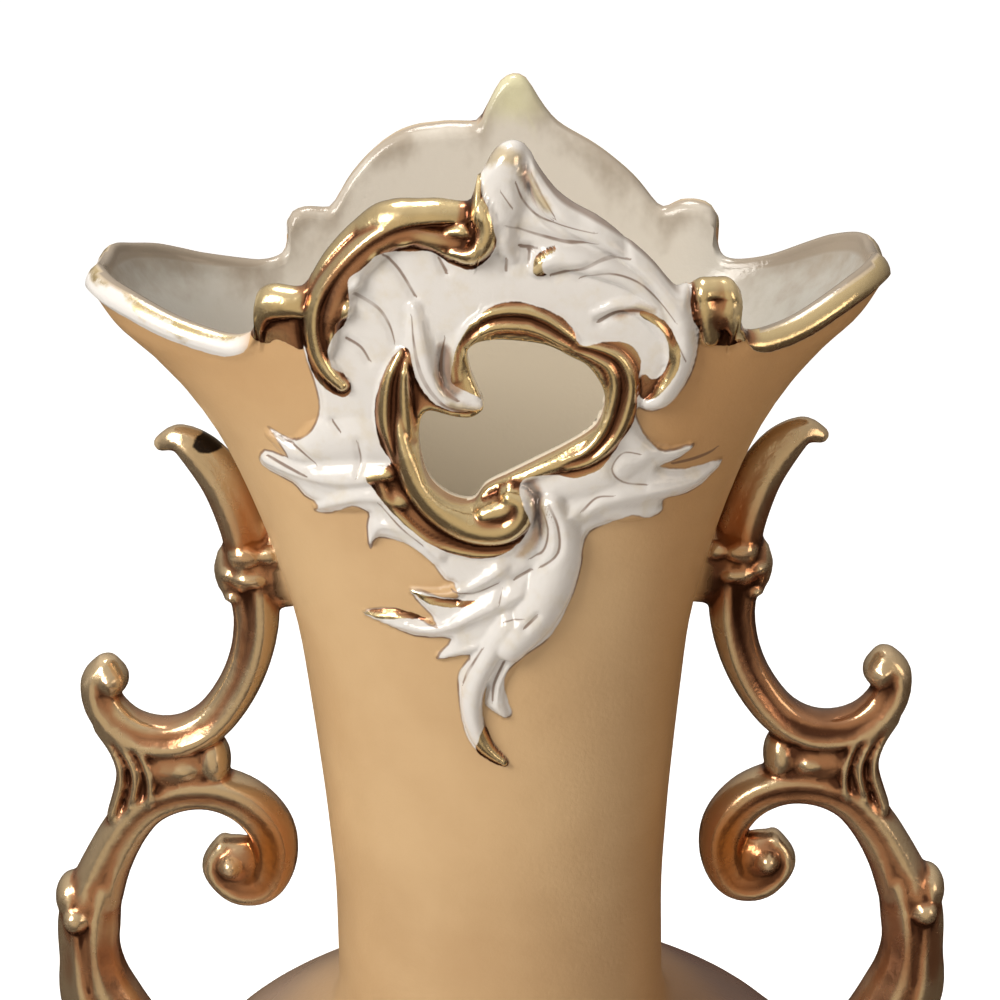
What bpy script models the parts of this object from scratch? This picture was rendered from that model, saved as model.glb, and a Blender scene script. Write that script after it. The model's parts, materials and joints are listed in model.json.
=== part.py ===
"""Rococo porcelain vase with a winged mouth, pierced pediment and double-scroll handles.

The vase is one cast, luted and fired piece of porcelain.  Its front faces -Y, the
handles stand on -X and +X, and the origin is the centre of the foot's underside.
Sizes below are millimetres; MM turns them into Blender's metres.
"""

import math

import bmesh
import bpy
from mathutils import Vector

MM = 0.001

# Main sizes
HEIGHT = 351.0
BODY_R = 76.5
NECK_R = 33.1
MOUTH_HALF_LENGTH = 75.5
MOUTH_HALF_DEPTH = 38.0
WING_TIP_Z = 320.5
SHOULDER_Z = 141.6

# Vessel
WALL = 4.0
FOOT_RING_INNER_R = 40.0
FOOT_RECESS_R = 25.0
FOOT_RECESS_HEIGHT = 20.0
CAVITY_FLOOR_Z = 31.0
BODY_WALL = 4.7
NECK_SPLIT_Z = 232.0
NECK_INSIDE_ROWS_Z = (222.0, 196.0)
EVEN_COLUMNS_BELOW_Z = 180.0
MOUTH_COLUMNS_ABOVE_Z = 290.0
MOUTH_SQUARENESS = 2.5
SQUARE_FROM_Z = 240.0
SQUARE_TO_Z = 300.0
LIP_ROLL = 1.2
LIP_ROW_DROP = 2.6
FOOT_RING_BEVEL = 1.5
FOOT_RING_INNER_RISE = 4.0

# Steps over which the surface's slope is taken: radians round it, height up it
TURN_STEP = 0.004
RISE_STEP = 0.4

# Half length where the neck starts to flare, and the share of the flare at each height
FLARE_FROM_R = 38.5
FLARE_SHARES = [
    (265.0, 0.1), (278.0, 0.216216), (290.0, 0.354054), (299.0, 0.505405),
    (306.5, 0.683784), (313.0, 0.872973), (WING_TIP_Z, 1.0),
]

# Half length (X) of the outside at each height, from the foot to the wing tips
SIDE_PROFILE = [
    (0.0, 48.4), (7.6, 48.8), (11.0, 43.0), (16.0, 35.0), (23.0, 31.2), (31.0, 34.4),
    (44.0, 46.2), (60.0, 58.8), (77.0, 69.2), (97.0, 75.4), (112.6, BODY_R),
    (128.6, 75.2), (SHOULDER_Z, 70.4), (150.6, 62.6), (157.4, 52.6), (162.6, 42.8),
    (166.2, 34.6), (172.0, 33.2), (190.0, NECK_R), (210.0, 34.2), (222.0, 35.3),
    (237.0, 36.9), (250.0, FLARE_FROM_R),
]
SIDE_PROFILE += [
    (z, FLARE_FROM_R + share * (MOUTH_HALF_LENGTH - FLARE_FROM_R))
    for z, share in FLARE_SHARES
]

# Radius and height of the cavity from the neck down to its floor
CAVITY_PROFILE = [
    (29.5, 172.0), (33.5, 159.6), (52.5, 150.2), (68.5, 132.0), (BODY_R - BODY_WALL, 108.0),
    (62.5, 72.0), (42.0, 45.0), (14.0, CAVITY_FLOOR_Z),
]

# Half depth (Y) of the outside, where it leaves the round
FRONT_PROFILE = [
    (210.0, 34.2), (222.0, 34.6), (237.0, 35.2), (265.0, 36.6), (290.0, 37.5),
    (WING_TIP_Z, MOUTH_HALF_DEPTH),
]

# Rim of each wing: share of the way out from its lobe to the tip, and height
LEFT_LOBE_END_X = -45.0
RIGHT_LOBE_END_X = 43.4
LEFT_WING_RIM = [(0.918033, 322.0), (0.721311, 320.5), (0.491803, 318.0), (0.229508, 316.0)]
RIGHT_WING_RIM = [(0.205607, 313.9), (0.454829, 316.0), (0.704050, 319.3), (0.906542, 322.0)]

# Rim seen from the front: left wing, lobe, arch, peak, lobe, right wing
RIM_OUTLINE = [
    (-MOUTH_HALF_LENGTH, WING_TIP_Z),
    *((LEFT_LOBE_END_X - share * (MOUTH_HALF_LENGTH + LEFT_LOBE_END_X), z)
      for share, z in LEFT_WING_RIM),
    (LEFT_LOBE_END_X, 315.2), (-41.7, 317.0), (-40.2, 322.5), (-38.0, 324.7),
    (-32.3, 324.7), (-28.0, 331.5), (-22.0, 337.4), (-14.0, 340.8), (-1.0, 341.6),
    (1.5, 347.0), (5.5, HEIGHT), (9.5, 347.0), (14.5, 340.8), (22.0, 336.2),
    (29.0, 330.4), (34.0, 324.4), (39.0, 324.8), (41.8, 320.5), (RIGHT_LOBE_END_X, 315.0),
    *((RIGHT_LOBE_END_X + share * (MOUTH_HALF_LENGTH - RIGHT_LOBE_END_X), z)
      for share, z in RIGHT_WING_RIM),
    (MOUTH_HALF_LENGTH, WING_TIP_Z),
]

# Pierced opening of the front pediment: x, z clockwise from its top left corner
OPENING_OUTLINE = [
    (-3.0, 313.5), (0.5, 316.0), (6.0, 316.0), (13.5, 313.5), (18.0, 311.0),
    (21.0, 306.0), (20.5, 300.0), (16.5, 297.0), (11.5, 293.5), (4.0, 290.5),
    (0.0, 288.5), (-2.5, 285.7), (-6.0, 286.0), (-10.5, 290.0), (-12.0, 297.5),
    (-11.0, 302.0), (-7.5, 302.7), (-2.5, 302.0), (-0.5, 304.0), (-2.4, 309.0),
]

# White ground of the relief, clockwise from the left of the peak
GROUND_OUTLINE = [
    (-2.5, 341.0), (-10.5, 338.5), (-18.0, 335.0), (-23.0, 329.5), (-27.0, 323.5),
    (-28.0, 316.0), (-26.5, 308.5), (-30.0, 302.0), (-33.5, 295.5), (-34.0, 288.5),
    (-29.5, 285.0), (-22.0, 284.0), (-18.5, 278.0), (-10.5, 273.0), (-3.5, 270.0),
    (0.0, 262.0), (7.5, 258.5), (12.0, 264.5), (15.5, 272.0), (17.5, 278.5),
    (22.0, 282.0), (29.5, 284.0), (35.0, 287.0), (36.5, 291.0), (29.5, 297.0),
    (28.5, 301.0), (32.0, 303.5), (35.5, 311.0), (36.5, 318.5), (32.5, 327.5),
    (25.5, 333.5), (17.0, 338.0), (10.0, 343.5), (6.5, 348.0), (1.5, 348.0),
]
GROUND_THICKNESS = 1.6
GROUND_ROOT = 1.5
GROUND_HALF_WIDTH = 42.0
GROUND_SPAN_Z = (254.0, 354.0)
FRONT_CUT_Y = (-20.0, -60.0)
STRIP_RISE = 0.2

# Scrolls and leaves of the relief: (x, z, half width) along each midline, then height
GILT_SCROLLS = {
    "arch_scroll": ([(-1.5, 334.5, 3.8), (-6.0, 336.3, 4.6), (-12.0, 336.2, 4.2),
                     (-20.0, 332.6, 3.9), (-26.5, 325.0, 3.8), (-29.4, 316.5, 2.2),
                     (-29.0, 310.0, 1.7), (-25.8, 307.5, 1.5)], 3.6),
    "opening_crown": ([(-4.5, 309.0, 1.4), (-3.6, 314.5, 1.8), (1.0, 318.6, 2.7),
                       (6.5, 319.4, 3.1), (12.5, 317.4, 2.7), (16.5, 313.6, 1.4)], 3.0),
    "opening_right": ([(17.5, 313.2, 1.6), (22.0, 312.0, 2.7), (24.3, 306.0, 3.0),
                       (23.0, 299.0, 2.8), (18.3, 294.2, 2.5), (11.5, 292.0, 1.3)], 2.8),
    "opening_left": ([(-14.3, 312.5, 1.8), (-16.0, 304.0, 3.5), (-14.8, 295.0, 3.6),
                      (-11.0, 286.8, 3.8), (-5.0, 281.0, 4.4), (1.2, 280.6, 4.6),
                      (3.6, 285.6, 2.6)], 3.6),
    "left_lobe": ([(-38.3, 320.0, 2.6), (-35.0, 322.0, 2.9), (-31.8, 321.0, 1.9)], 2.2),
    "right_lobe": ([(35.0, 321.5, 2.4), (39.5, 322.2, 3.4), (43.8, 321.6, 1.8)], 3.0),
}
WHITE_LEAVES = {
    "peak_knob": ([(4.0, 348.4, 3.3), (3.9, 344.0, 4.5), (2.6, 335.5, 3.2)], 3.0),
    "right_crest": ([(9.5, 341.5, 2.4), (18.0, 335.5, 2.9), (26.0, 331.0, 2.9),
                     (32.6, 324.0, 2.9), (34.8, 316.0, 2.6), (33.0, 308.0, 2.4),
                     (29.0, 303.0, 1.6)], 2.8),
    "upper_tongue": ([(10.0, 329.0, 1.4), (13.8, 330.4, 2.3), (21.0, 328.5, 2.5),
                      (30.0, 323.5, 1.5)], 2.4),
    "lower_tongue": ([(23.0, 320.0, 1.0), (29.0, 319.2, 2.3), (31.5, 314.0, 2.4)], 2.2),
    "hooked_tongue": ([(-10.6, 318.0, 2.4), (-9.9, 310.5, 2.1), (-6.5, 305.0, 1.7),
                       (-2.0, 303.6, 0.8)], 2.4),
    "left_leaf_top": ([(-16.0, 293.5, 3.6), (-25.0, 295.5, 4.6), (-36.5, 296.2, 1.3)], 2.6),
    "left_leaf_middle": ([(-16.0, 288.0, 3.6), (-26.0, 289.8, 4.2), (-40.0, 290.6, 1.1)],
                         2.8),
    "left_leaf_foot": ([(-12.0, 280.0, 3.0), (-20.0, 284.0, 3.6), (-29.0, 283.6, 1.5)], 2.4),
    "left_leaf_curl": ([(-7.0, 275.5, 2.6), (-14.5, 278.8, 2.6), (-21.0, 279.2, 1.2)], 2.2),
    "right_leaf_foot": ([(10.0, 284.0, 4.4), (22.0, 286.6, 4.8), (32.5, 281.4, 1.1)], 3.0),
    "right_leaf_tip": ([(20.0, 291.0, 4.0), (32.0, 288.0, 3.6), (42.0, 289.4, 1.0)], 2.6),
    "right_leaf_top": ([(25.0, 298.0, 2.0), (31.5, 295.0, 1.9), (37.5, 294.6, 0.9)], 1.8),
    "spray_high": ([(4.0, 274.0, 3.6), (-5.0, 269.0, 2.4), (-14.0, 267.6, 0.9)], 2.4),
    "spray_middle": ([(6.0, 268.5, 3.8), (-8.0, 262.6, 2.8), (-22.0, 262.4, 0.9)], 2.4),
    "spray_low": ([(6.0, 261.5, 3.4), (-2.0, 258.0, 2.2), (-9.5, 256.2, 0.9)], 2.2),
    "tail": ([(12.5, 278.0, 4.6), (8.0, 266.0, 5.4), (2.0, 255.0, 4.3), (-2.0, 246.0, 2.5),
              (-1.2, 239.5, 1.8), (1.6, 235.0, 0.9)], 3.0),
}
RELIEF_LIFT = 0.8

# Handle: (distance from the axis, z, half width, half depth) along each member
HANDLE_ARM = [
    (63.0, 286.4, 1.8, 2.4), (59.2, 286.0, 3.4, 4.0), (53.9, 281.4, 4.4, 5.0),
    (49.8, 274.5, 4.8, 5.5), (47.5, 266.5, 5.0, 5.9), (47.5, 259.6, 6.8, 6.8),
    (46.9, 251.0, 4.6, 6.1), (48.6, 241.5, 4.4, 5.9), (51.9, 234.4, 4.3, 5.9),
    (56.6, 228.2, 4.2, 6.1), (62.1, 224.6, 4.1, 6.3), (67.9, 223.8, 4.1, 6.3),
    (73.9, 226.0, 4.1, 5.9), (78.1, 230.8, 4.1, 5.3), (79.3, 236.2, 3.7, 4.6),
    (77.3, 239.6, 3.2, 3.9),
]
HANDLE_LEG = [
    (56.4, 198.0, 2.4, 3.1), (56.8, 193.6, 3.2, 4.2), (52.2, 190.8, 3.7, 4.8),
    (46.8, 192.4, 4.3, 5.3), (43.8, 198.6, 4.7, 5.9), (45.4, 206.0, 4.9, 6.3),
    (50.7, 211.2, 4.6, 6.3), (57.3, 213.6, 4.3, 6.3), (64.0, 213.6, 4.3, 6.3),
    (70.5, 210.6, 4.6, 6.3), (75.5, 205.0, 4.8, 6.3), (79.7, 197.4, 5.2, 6.4),
    (83.9, 188.0, 6.9, 7.4), (84.6, 176.5, 6.6, 6.9), (83.0, 166.5, 8.4, 7.4),
    (76.6, 155.6, 8.4, 7.7), (65.5, 145.5, 6.8, 7.0),
]
HANDLE_ROOT = [(47.4, 259.0, 9.6, 5.4), (39.6, 261.3, 9.8, 5.8)]
SADDLE_CENTRE = (66.0, 218.8)
SADDLE_HALF = (9.4, 6.2, 5.6)
VOLUTE_CENTRE = (51.3, 199.6)
VOLUTE_R = 8.0
VOLUTE_HALF_DEPTH = 3.6
TIP_BALL = (76.2, 238.2, 4.4)


def table_value(table, z):
    """Value at height z of a (height, value) table, with smooth tangents."""
    if z <= table[0][0]:
        return table[0][1]
    if z >= table[-1][0]:
        return table[-1][1]
    i = max(k for k in range(len(table) - 1) if table[k][0] <= z)
    (z0, v0), (z1, v1) = table[i], table[i + 1]
    h = z1 - z0
    rise = (v1 - v0) / h
    before = (v0 - table[i - 1][1]) / (z0 - table[i - 1][0]) if i > 0 else rise
    after_ok = i + 2 < len(table)
    after = (table[i + 2][1] - v1) / (table[i + 2][0] - z1) if after_ok else rise
    m0 = 0.0 if before * rise <= 0 else 2 * before * rise / (before + rise)
    m1 = 0.0 if after * rise <= 0 else 2 * after * rise / (after + rise)
    t = (z - z0) / h
    return ((2 * t**3 - 3 * t**2 + 1) * v0 + (t**3 - 2 * t**2 + t) * h * m0
            + (3 * t**2 - 2 * t**3) * v1 + (t**3 - t**2) * h * m1)


def half_length(z):
    return table_value(SIDE_PROFILE, z)


def half_depth(z):
    if z <= FRONT_PROFILE[0][0]:
        return half_length(z)
    return table_value(FRONT_PROFILE, z)


def squareness(z):
    blend = min(max((z - SQUARE_FROM_Z) / (SQUARE_TO_Z - SQUARE_FROM_Z), 0.0), 1.0)
    return 2.0 + (MOUTH_SQUARENESS - 2.0) * blend


def outside(angle, z):
    """Point on the outer face at a column angle (0 = right wing, 90 deg = back)."""
    power = 2.0 / squareness(z)
    c, s = math.cos(angle), math.sin(angle)
    x = half_length(z) * math.copysign(abs(c) ** power, c)
    y = half_depth(z) * math.copysign(abs(s) ** power, s)
    return Vector((x, y, z))


def outward(angle, z):
    """Unit normal of the outer face."""
    along = outside(angle + TURN_STEP, z) - outside(angle - TURN_STEP, z)
    up = outside(angle, z + RISE_STEP) - outside(angle, z - RISE_STEP)
    return along.cross(up).normalized()


def front_point(x, z):
    """Point and normal of the outer face on the front, straight behind (x, z)."""
    n = squareness(z)
    u = min(abs(x) / half_length(z), 0.995)
    angle = -math.acos(math.copysign(u ** (n / 2.0), x))
    return outside(angle, z), outward(angle, z)


def rim_columns():
    """Column angles and rim heights round the mouth, back half then front half."""
    half = []
    for x, z in reversed(RIM_OUTLINE):
        u = min(abs(x) / half_length(z), 1.0)
        half.append((math.acos(math.copysign(u ** (squareness(z) / 2.0), x)), z))
    back = [(a, z) for a, z in half]
    front = [(2 * math.pi - a, z) for a, z in reversed(half[1:-1])]
    return back + front


def column_angle(index, count, mouth_angle, z):
    """Column angle at a height: evenly spaced on the body, as the rim needs higher up."""
    even = 2 * math.pi * index / count
    share = (z - EVEN_COLUMNS_BELOW_Z) / (MOUTH_COLUMNS_ABOVE_Z - EVEN_COLUMNS_BELOW_Z)
    share = min(max(share, 0.0), 1.0)
    return even + (mouth_angle - even) * share


def new_object(name, bm, material=None):
    mesh = bpy.data.meshes.new(name)
    bmesh.ops.recalc_face_normals(bm, faces=bm.faces[:])
    bm.to_mesh(mesh)
    bm.free()
    obj = bpy.data.objects.new(name, mesh)
    bpy.context.scene.collection.objects.link(obj)
    if material:
        mesh.materials.append(material)
    return obj


def loft(rings, cap_start=True, cap_end=True):
    """Closed skin over rings of equally many points."""
    bm = bmesh.new()
    rows = [[bm.verts.new(p * MM) for p in ring] for ring in rings]
    count = len(rows[0])
    for low, high in zip(rows, rows[1:]):
        for i in range(count):
            j = (i + 1) % count
            bm.faces.new((low[i], low[j], high[j], high[i]))
    for flag, row in ((cap_start, rows[0]), (cap_end, rows[-1])):
        if flag:
            centre = bm.verts.new(sum((v.co for v in row), Vector()) / count)
            for i in range(count):
                bm.faces.new((row[i], row[(i + 1) % count], centre))
    bmesh.ops.triangulate(bm, faces=bm.faces[:])
    return bm


def shell(name, material):
    """Hollow vessel: outside from the foot to the lip, then the inside down again."""
    columns = rim_columns()
    count = len(columns)

    def turned(r, z):
        angles = (2 * math.pi * i / count for i in range(count))
        return [Vector((r * math.cos(a), r * math.sin(a), z)) for a in angles]

    def wall(height, inset):
        ring = []
        for i, (mouth_angle, top) in enumerate(columns):
            z = height(top)
            a = column_angle(i, count, mouth_angle, z)
            ring.append(outside(a, z) - outward(a, z) * inset)
        return ring

    def share_height(share):
        return lambda top: NECK_SPLIT_Z + share * (top - NECK_SPLIT_Z)

    rings = [turned(FOOT_RECESS_R, FOOT_RECESS_HEIGHT),
             turned(FOOT_RING_INNER_R, FOOT_RING_INNER_RISE),
             turned(FOOT_RING_INNER_R + FOOT_RING_BEVEL, 0.0)]
    for z, r in SIDE_PROFILE:
        if z < EVEN_COLUMNS_BELOW_Z:
            rings.append(turned(r, z))
        elif z < NECK_SPLIT_Z - 3.0 * WALL:
            rings.append(wall(lambda top: z, 0.0))
    for share in (0.0, 0.30, 0.52, 0.70, 0.86):
        rings.append(wall(share_height(share), 0.0))
    rings.append(wall(lambda top: top - LIP_ROW_DROP, -0.7 * LIP_ROLL))
    rings.append(wall(lambda top: top - 0.2 * LIP_ROW_DROP, -0.6 * LIP_ROLL))
    rings.append(wall(lambda top: top, 0.72 * WALL))
    rings.append(wall(lambda top: top - LIP_ROW_DROP, WALL))
    for share in (0.74, 0.46, 0.2):
        rings.append(wall(share_height(share), WALL))
    for z in NECK_INSIDE_ROWS_Z:
        rings.append(wall(lambda top: z, WALL))
    for r, z in CAVITY_PROFILE:
        rings.append(turned(r, z))
    return new_object(name, loft(rings), material)


def strip(name, path, height, rounded):
    """Lens-shaped scroll or leaf lying on the front of the neck along its midline."""
    if rounded:
        section = [(1.0, -0.1), (0.5, 0.85), (-0.5, 0.85), (-1.0, -0.1), (0.0, -0.75)]
    else:
        section = [(1.0, -0.1), (0.1, 1.0), (-1.0, -0.1), (0.0, -0.75)]
    samples = []
    for i in range(len(path) - 1):
        p0, p1 = path[max(i - 1, 0)], path[i]
        p2, p3 = path[i + 1], path[min(i + 2, len(path) - 1)]
        for t in (0.0, 0.5):
            samples.append(tuple(
                0.5 * (2 * b + (c - a) * t + (2 * a - 5 * b + 4 * c - d) * t * t
                       + (3 * b - a - 3 * c + d) * t**3)
                for a, b, c, d in zip(p0, p1, p2, p3)))
    samples.append(path[-1])
    rings = []
    for i, (x, z, half) in enumerate(samples):
        point, normal = front_point(x, z)
        ahead = samples[min(i + 1, len(samples) - 1)]
        behind = samples[max(i - 1, 0)]
        run = front_point(ahead[0], ahead[1])[0] - front_point(behind[0], behind[1])[0]
        across = normal.cross(run).normalized()
        tall = height * min(1.0, 0.35 + STRIP_RISE * half)
        rings.append([point + normal * (RELIEF_LIFT + tall * v) + across * half * u
                      for u, v in section])
    return as_tool(new_object(name, loft(rings)))


def as_tool(obj):
    obj.hide_render = True
    obj.display_type = "WIRE"
    return obj


def prism(name, outline, y_near, y_far):
    """Outline in the XZ plane drawn out along Y."""
    rings = [[Vector((x, y, z)) for x, z in outline] for y in (y_near, y_far)]
    bm = bmesh.new()
    near = [bm.verts.new(p * MM) for p in rings[0]]
    far = [bm.verts.new(p * MM) for p in rings[1]]
    bm.faces.new(near)
    bm.faces.new(far)
    for i in range(len(near)):
        j = (i + 1) % len(near)
        bm.faces.new((near[i], near[j], far[j], far[i]))
    bmesh.ops.triangulate(bm, faces=bm.faces[:])
    return as_tool(new_object(name, bm))


def ground(name):
    """White ground of the relief: a skin over the neck, trimmed to its outline."""
    columns = [GROUND_HALF_WIDTH * (i / 4 - 1) for i in range(9)]
    low, high = GROUND_SPAN_Z
    heights = [low + (high - low) * j / 6 for j in range(7)]
    bm = bmesh.new()
    layers = []
    for lift in (-GROUND_ROOT, GROUND_THICKNESS):
        grid = []
        for z in heights:
            row = []
            for x in columns:
                point, normal = front_point(x, z)
                row.append(bm.verts.new((point + normal * lift) * MM))
            grid.append(row)
        layers.append(grid)
    rows, cols = len(heights), len(columns)
    for grid in layers:
        for j in range(rows - 1):
            for i in range(cols - 1):
                bm.faces.new((grid[j][i], grid[j][i + 1], grid[j + 1][i + 1], grid[j + 1][i]))
    border = ([(0, i) for i in range(cols)] + [(j, cols - 1) for j in range(1, rows)]
              + [(rows - 1, i) for i in range(cols - 2, -1, -1)]
              + [(j, 0) for j in range(rows - 2, 0, -1)])
    for k, (j, i) in enumerate(border):
        j2, i2 = border[(k + 1) % len(border)]
        bm.faces.new((layers[0][j][i], layers[0][j2][i2], layers[1][j2][i2], layers[1][j][i]))
    bmesh.ops.triangulate(bm, faces=bm.faces[:])
    skin = as_tool(new_object(name, bm))
    trim = prism(name + "_trim", GROUND_OUTLINE, *FRONT_CUT_Y)
    boolean(skin, "Trim", "INTERSECT", trim)
    return skin


def member(name, path, side):
    """Grooved handle member along its path, in the plane of the two handles."""
    section = [(1.0, 0.38), (0.6, 1.0), (0.0, 0.74), (-0.6, 1.0), (-1.0, 0.38),
               (-1.0, -0.38), (-0.6, -1.0), (0.0, -0.74), (0.6, -1.0), (1.0, -0.38)]
    rings = []
    for i, (r, z, half, deep) in enumerate(path):
        ahead, behind = path[min(i + 1, len(path) - 1)], path[max(i - 1, 0)]
        run = Vector((ahead[0] - behind[0], 0.0, ahead[1] - behind[1])).normalized()
        across = Vector((run.z, 0.0, -run.x))
        centre = Vector((r, 0.0, z))
        ring = [centre + across * half * u + Vector((0.0, deep * v, 0.0)) for u, v in section]
        rings.append([Vector((p.x * side, p.y, p.z)) for p in ring])
    return as_tool(new_object(name, loft(rings)))


def block(name, centre, half, side, sides=10):
    """Rounded block whose outline in the handle plane is a superellipse."""
    rings = []
    for depth, scale in ((-1.0, 0.72), (-0.6, 1.0), (0.6, 1.0), (1.0, 0.72)):
        ring = []
        for k in range(sides):
            a = 2 * math.pi * (k + 0.5) / sides
            u = math.copysign(abs(math.cos(a)) ** 0.7, math.cos(a)) * scale
            v = math.copysign(abs(math.sin(a)) ** 0.7, math.sin(a)) * scale
            ring.append(Vector(((centre[0] + half[0] * u) * side, depth * half[1],
                                centre[1] + half[2] * v)))
        rings.append(ring)
    return as_tool(new_object(name, loft(rings)))


def boolean(target, name, operation, tool):
    modifier = target.modifiers.new(name, "BOOLEAN")
    modifier.operation = operation
    modifier.solver = "EXACT"
    if isinstance(tool, bpy.types.Collection):
        modifier.operand_type = "COLLECTION"
        modifier.collection = tool
    else:
        modifier.object = tool
    return modifier


def group(name, objects):
    collection = bpy.data.collections.new(name)
    bpy.context.scene.collection.children.link(collection)
    for obj in objects:
        bpy.context.scene.collection.objects.unlink(obj)
        collection.objects.link(obj)
    return collection


def handle(side, label):
    """Both scrolls of one handle, the root on the neck and the block that joins them."""
    return [
        member("arm_" + label, HANDLE_ARM, side),
        member("leg_" + label, HANDLE_LEG, side),
        member("root_" + label, HANDLE_ROOT, side),
        block("saddle_" + label, SADDLE_CENTRE, SADDLE_HALF, side),
        block("volute_" + label, VOLUTE_CENTRE, (VOLUTE_R, VOLUTE_HALF_DEPTH, VOLUTE_R), side,
              12),
        block("tip_ball_" + label, TIP_BALL[:2], (TIP_BALL[2], TIP_BALL[2], TIP_BALL[2]),
              side, 8),
    ]


def porcelain():
    material = bpy.data.materials.new("apricot_porcelain")
    material.use_nodes = True
    shader = material.node_tree.nodes["Principled BSDF"]
    shader.inputs["Base Color"].default_value = (0.66, 0.41, 0.20, 1.0)
    shader.inputs["Roughness"].default_value = 0.28
    shader.inputs["Metallic"].default_value = 0.0
    return material


def build():
    for obj in list(bpy.data.objects):
        bpy.data.objects.remove(obj, do_unlink=True)
    vase = shell("vase", porcelain())
    relief = [ground("relief_ground")]
    for name, (path, height) in GILT_SCROLLS.items():
        relief.append(strip(name, path, height, True))
    for name, (path, height) in WHITE_LEAVES.items():
        relief.append(strip(name, path, height, False))
    handles = handle(-1, "left") + handle(1, "right")
    boolean(vase, "Handles", "UNION", group("handle_parts", handles))
    boolean(vase, "Relief", "UNION", group("relief_parts", relief))
    boolean(vase, "Opening", "DIFFERENCE",
            prism("front_opening", OPENING_OUTLINE, *FRONT_CUT_Y))
    cavity_guard = vase.modifiers.new("Clean", "WELD")
    cavity_guard.merge_threshold = 0.00002
    vase.data.shade_smooth()
    vase.data.set_sharp_from_angle(angle=math.radians(40))


build()
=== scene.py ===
"""Looks of a rococo porcelain vase with a pierced pediment and two gilt scroll handles.

The whole vase is one casting, so one mesh carries the vessel, its moulded relief and
both handles.  The front faces -Y and the foot stands on z = 0.  Sizes are millimetres
and MM turns them into Blender's metres.
"""

from __future__ import annotations

import json
import logging
import math
from dataclasses import dataclass, field
from enum import Enum

import bpy
import numpy as np
from mathutils import Matrix, Vector

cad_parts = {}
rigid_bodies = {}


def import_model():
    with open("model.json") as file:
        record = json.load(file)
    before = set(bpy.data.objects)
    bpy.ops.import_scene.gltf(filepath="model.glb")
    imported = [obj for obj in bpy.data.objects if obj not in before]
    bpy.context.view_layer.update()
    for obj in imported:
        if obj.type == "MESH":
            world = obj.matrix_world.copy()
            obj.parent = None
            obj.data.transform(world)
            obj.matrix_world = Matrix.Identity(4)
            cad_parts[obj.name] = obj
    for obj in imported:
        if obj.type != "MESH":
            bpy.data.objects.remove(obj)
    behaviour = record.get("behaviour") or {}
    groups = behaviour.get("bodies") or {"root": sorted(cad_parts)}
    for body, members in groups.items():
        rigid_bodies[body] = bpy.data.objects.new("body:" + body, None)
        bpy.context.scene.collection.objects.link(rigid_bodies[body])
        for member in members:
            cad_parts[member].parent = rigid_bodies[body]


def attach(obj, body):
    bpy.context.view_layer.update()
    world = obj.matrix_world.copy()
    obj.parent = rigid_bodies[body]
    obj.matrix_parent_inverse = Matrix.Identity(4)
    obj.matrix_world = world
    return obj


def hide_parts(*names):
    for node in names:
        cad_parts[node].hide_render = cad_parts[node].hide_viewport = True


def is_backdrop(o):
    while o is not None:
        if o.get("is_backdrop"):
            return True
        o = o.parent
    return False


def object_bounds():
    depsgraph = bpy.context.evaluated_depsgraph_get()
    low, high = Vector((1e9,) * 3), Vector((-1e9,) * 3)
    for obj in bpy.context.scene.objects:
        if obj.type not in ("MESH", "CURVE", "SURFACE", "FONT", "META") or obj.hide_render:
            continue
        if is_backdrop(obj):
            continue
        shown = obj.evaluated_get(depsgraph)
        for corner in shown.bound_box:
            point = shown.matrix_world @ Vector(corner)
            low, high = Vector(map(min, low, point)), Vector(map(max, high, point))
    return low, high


MM = 0.001
NODE = "vase"
BODY = "root"

Points = tuple[tuple[float, ...], ...]
log = logging.getLogger("vase")


def spline(points: Points, steps: int = 6, closed: bool = False) -> np.ndarray:
    """Smooth curve through points.

    Args:
        points: the points it passes, with any number of values each.
        steps: samples to each span.
        closed: whether the last point leads back to the first.

    Returns:
        The samples, one row each.
    """
    p = np.array(points, float)
    n = len(p)
    spans = n if closed else n - 1
    t = np.linspace(0.0, 1.0, steps, endpoint=False)[:, None]
    rows = []
    for i in range(spans):
        if closed:
            a, b, c, d = p[i - 1], p[i], p[(i + 1) % n], p[(i + 2) % n]
        else:
            a, b, c, d = p[max(i - 1, 0)], p[i], p[i + 1], p[min(i + 2, n - 1)]
        rows.append(0.5 * (2 * b + (c - a) * t + (2 * a - 5 * b + 4 * c - d) * t**2
                           + (3 * b - a - 3 * c + d) * t**3))
    if not closed:
        rows.append(p[-1:])
    return np.concatenate(rows)


def soft_step(x: np.ndarray, low: float, high: float) -> np.ndarray:
    """Smooth rise from 0 at low to 1 at high."""
    t = np.clip((x - low) / (high - low), 0.0, 1.0)
    return t * t * (3.0 - 2.0 * t)


def soft_max(a: np.ndarray, b: np.ndarray, k: float) -> np.ndarray:
    """Larger of two heights, filleted over k where both stand proud."""
    near = np.clip(1.0 - np.abs(a - b) / k, 0.0, 1.0)
    proud = np.clip(2.0 * np.minimum(a, b) / k, 0.0, 1.0)
    return np.maximum(a, b) + 0.25 * k * near**2 * proud


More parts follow.
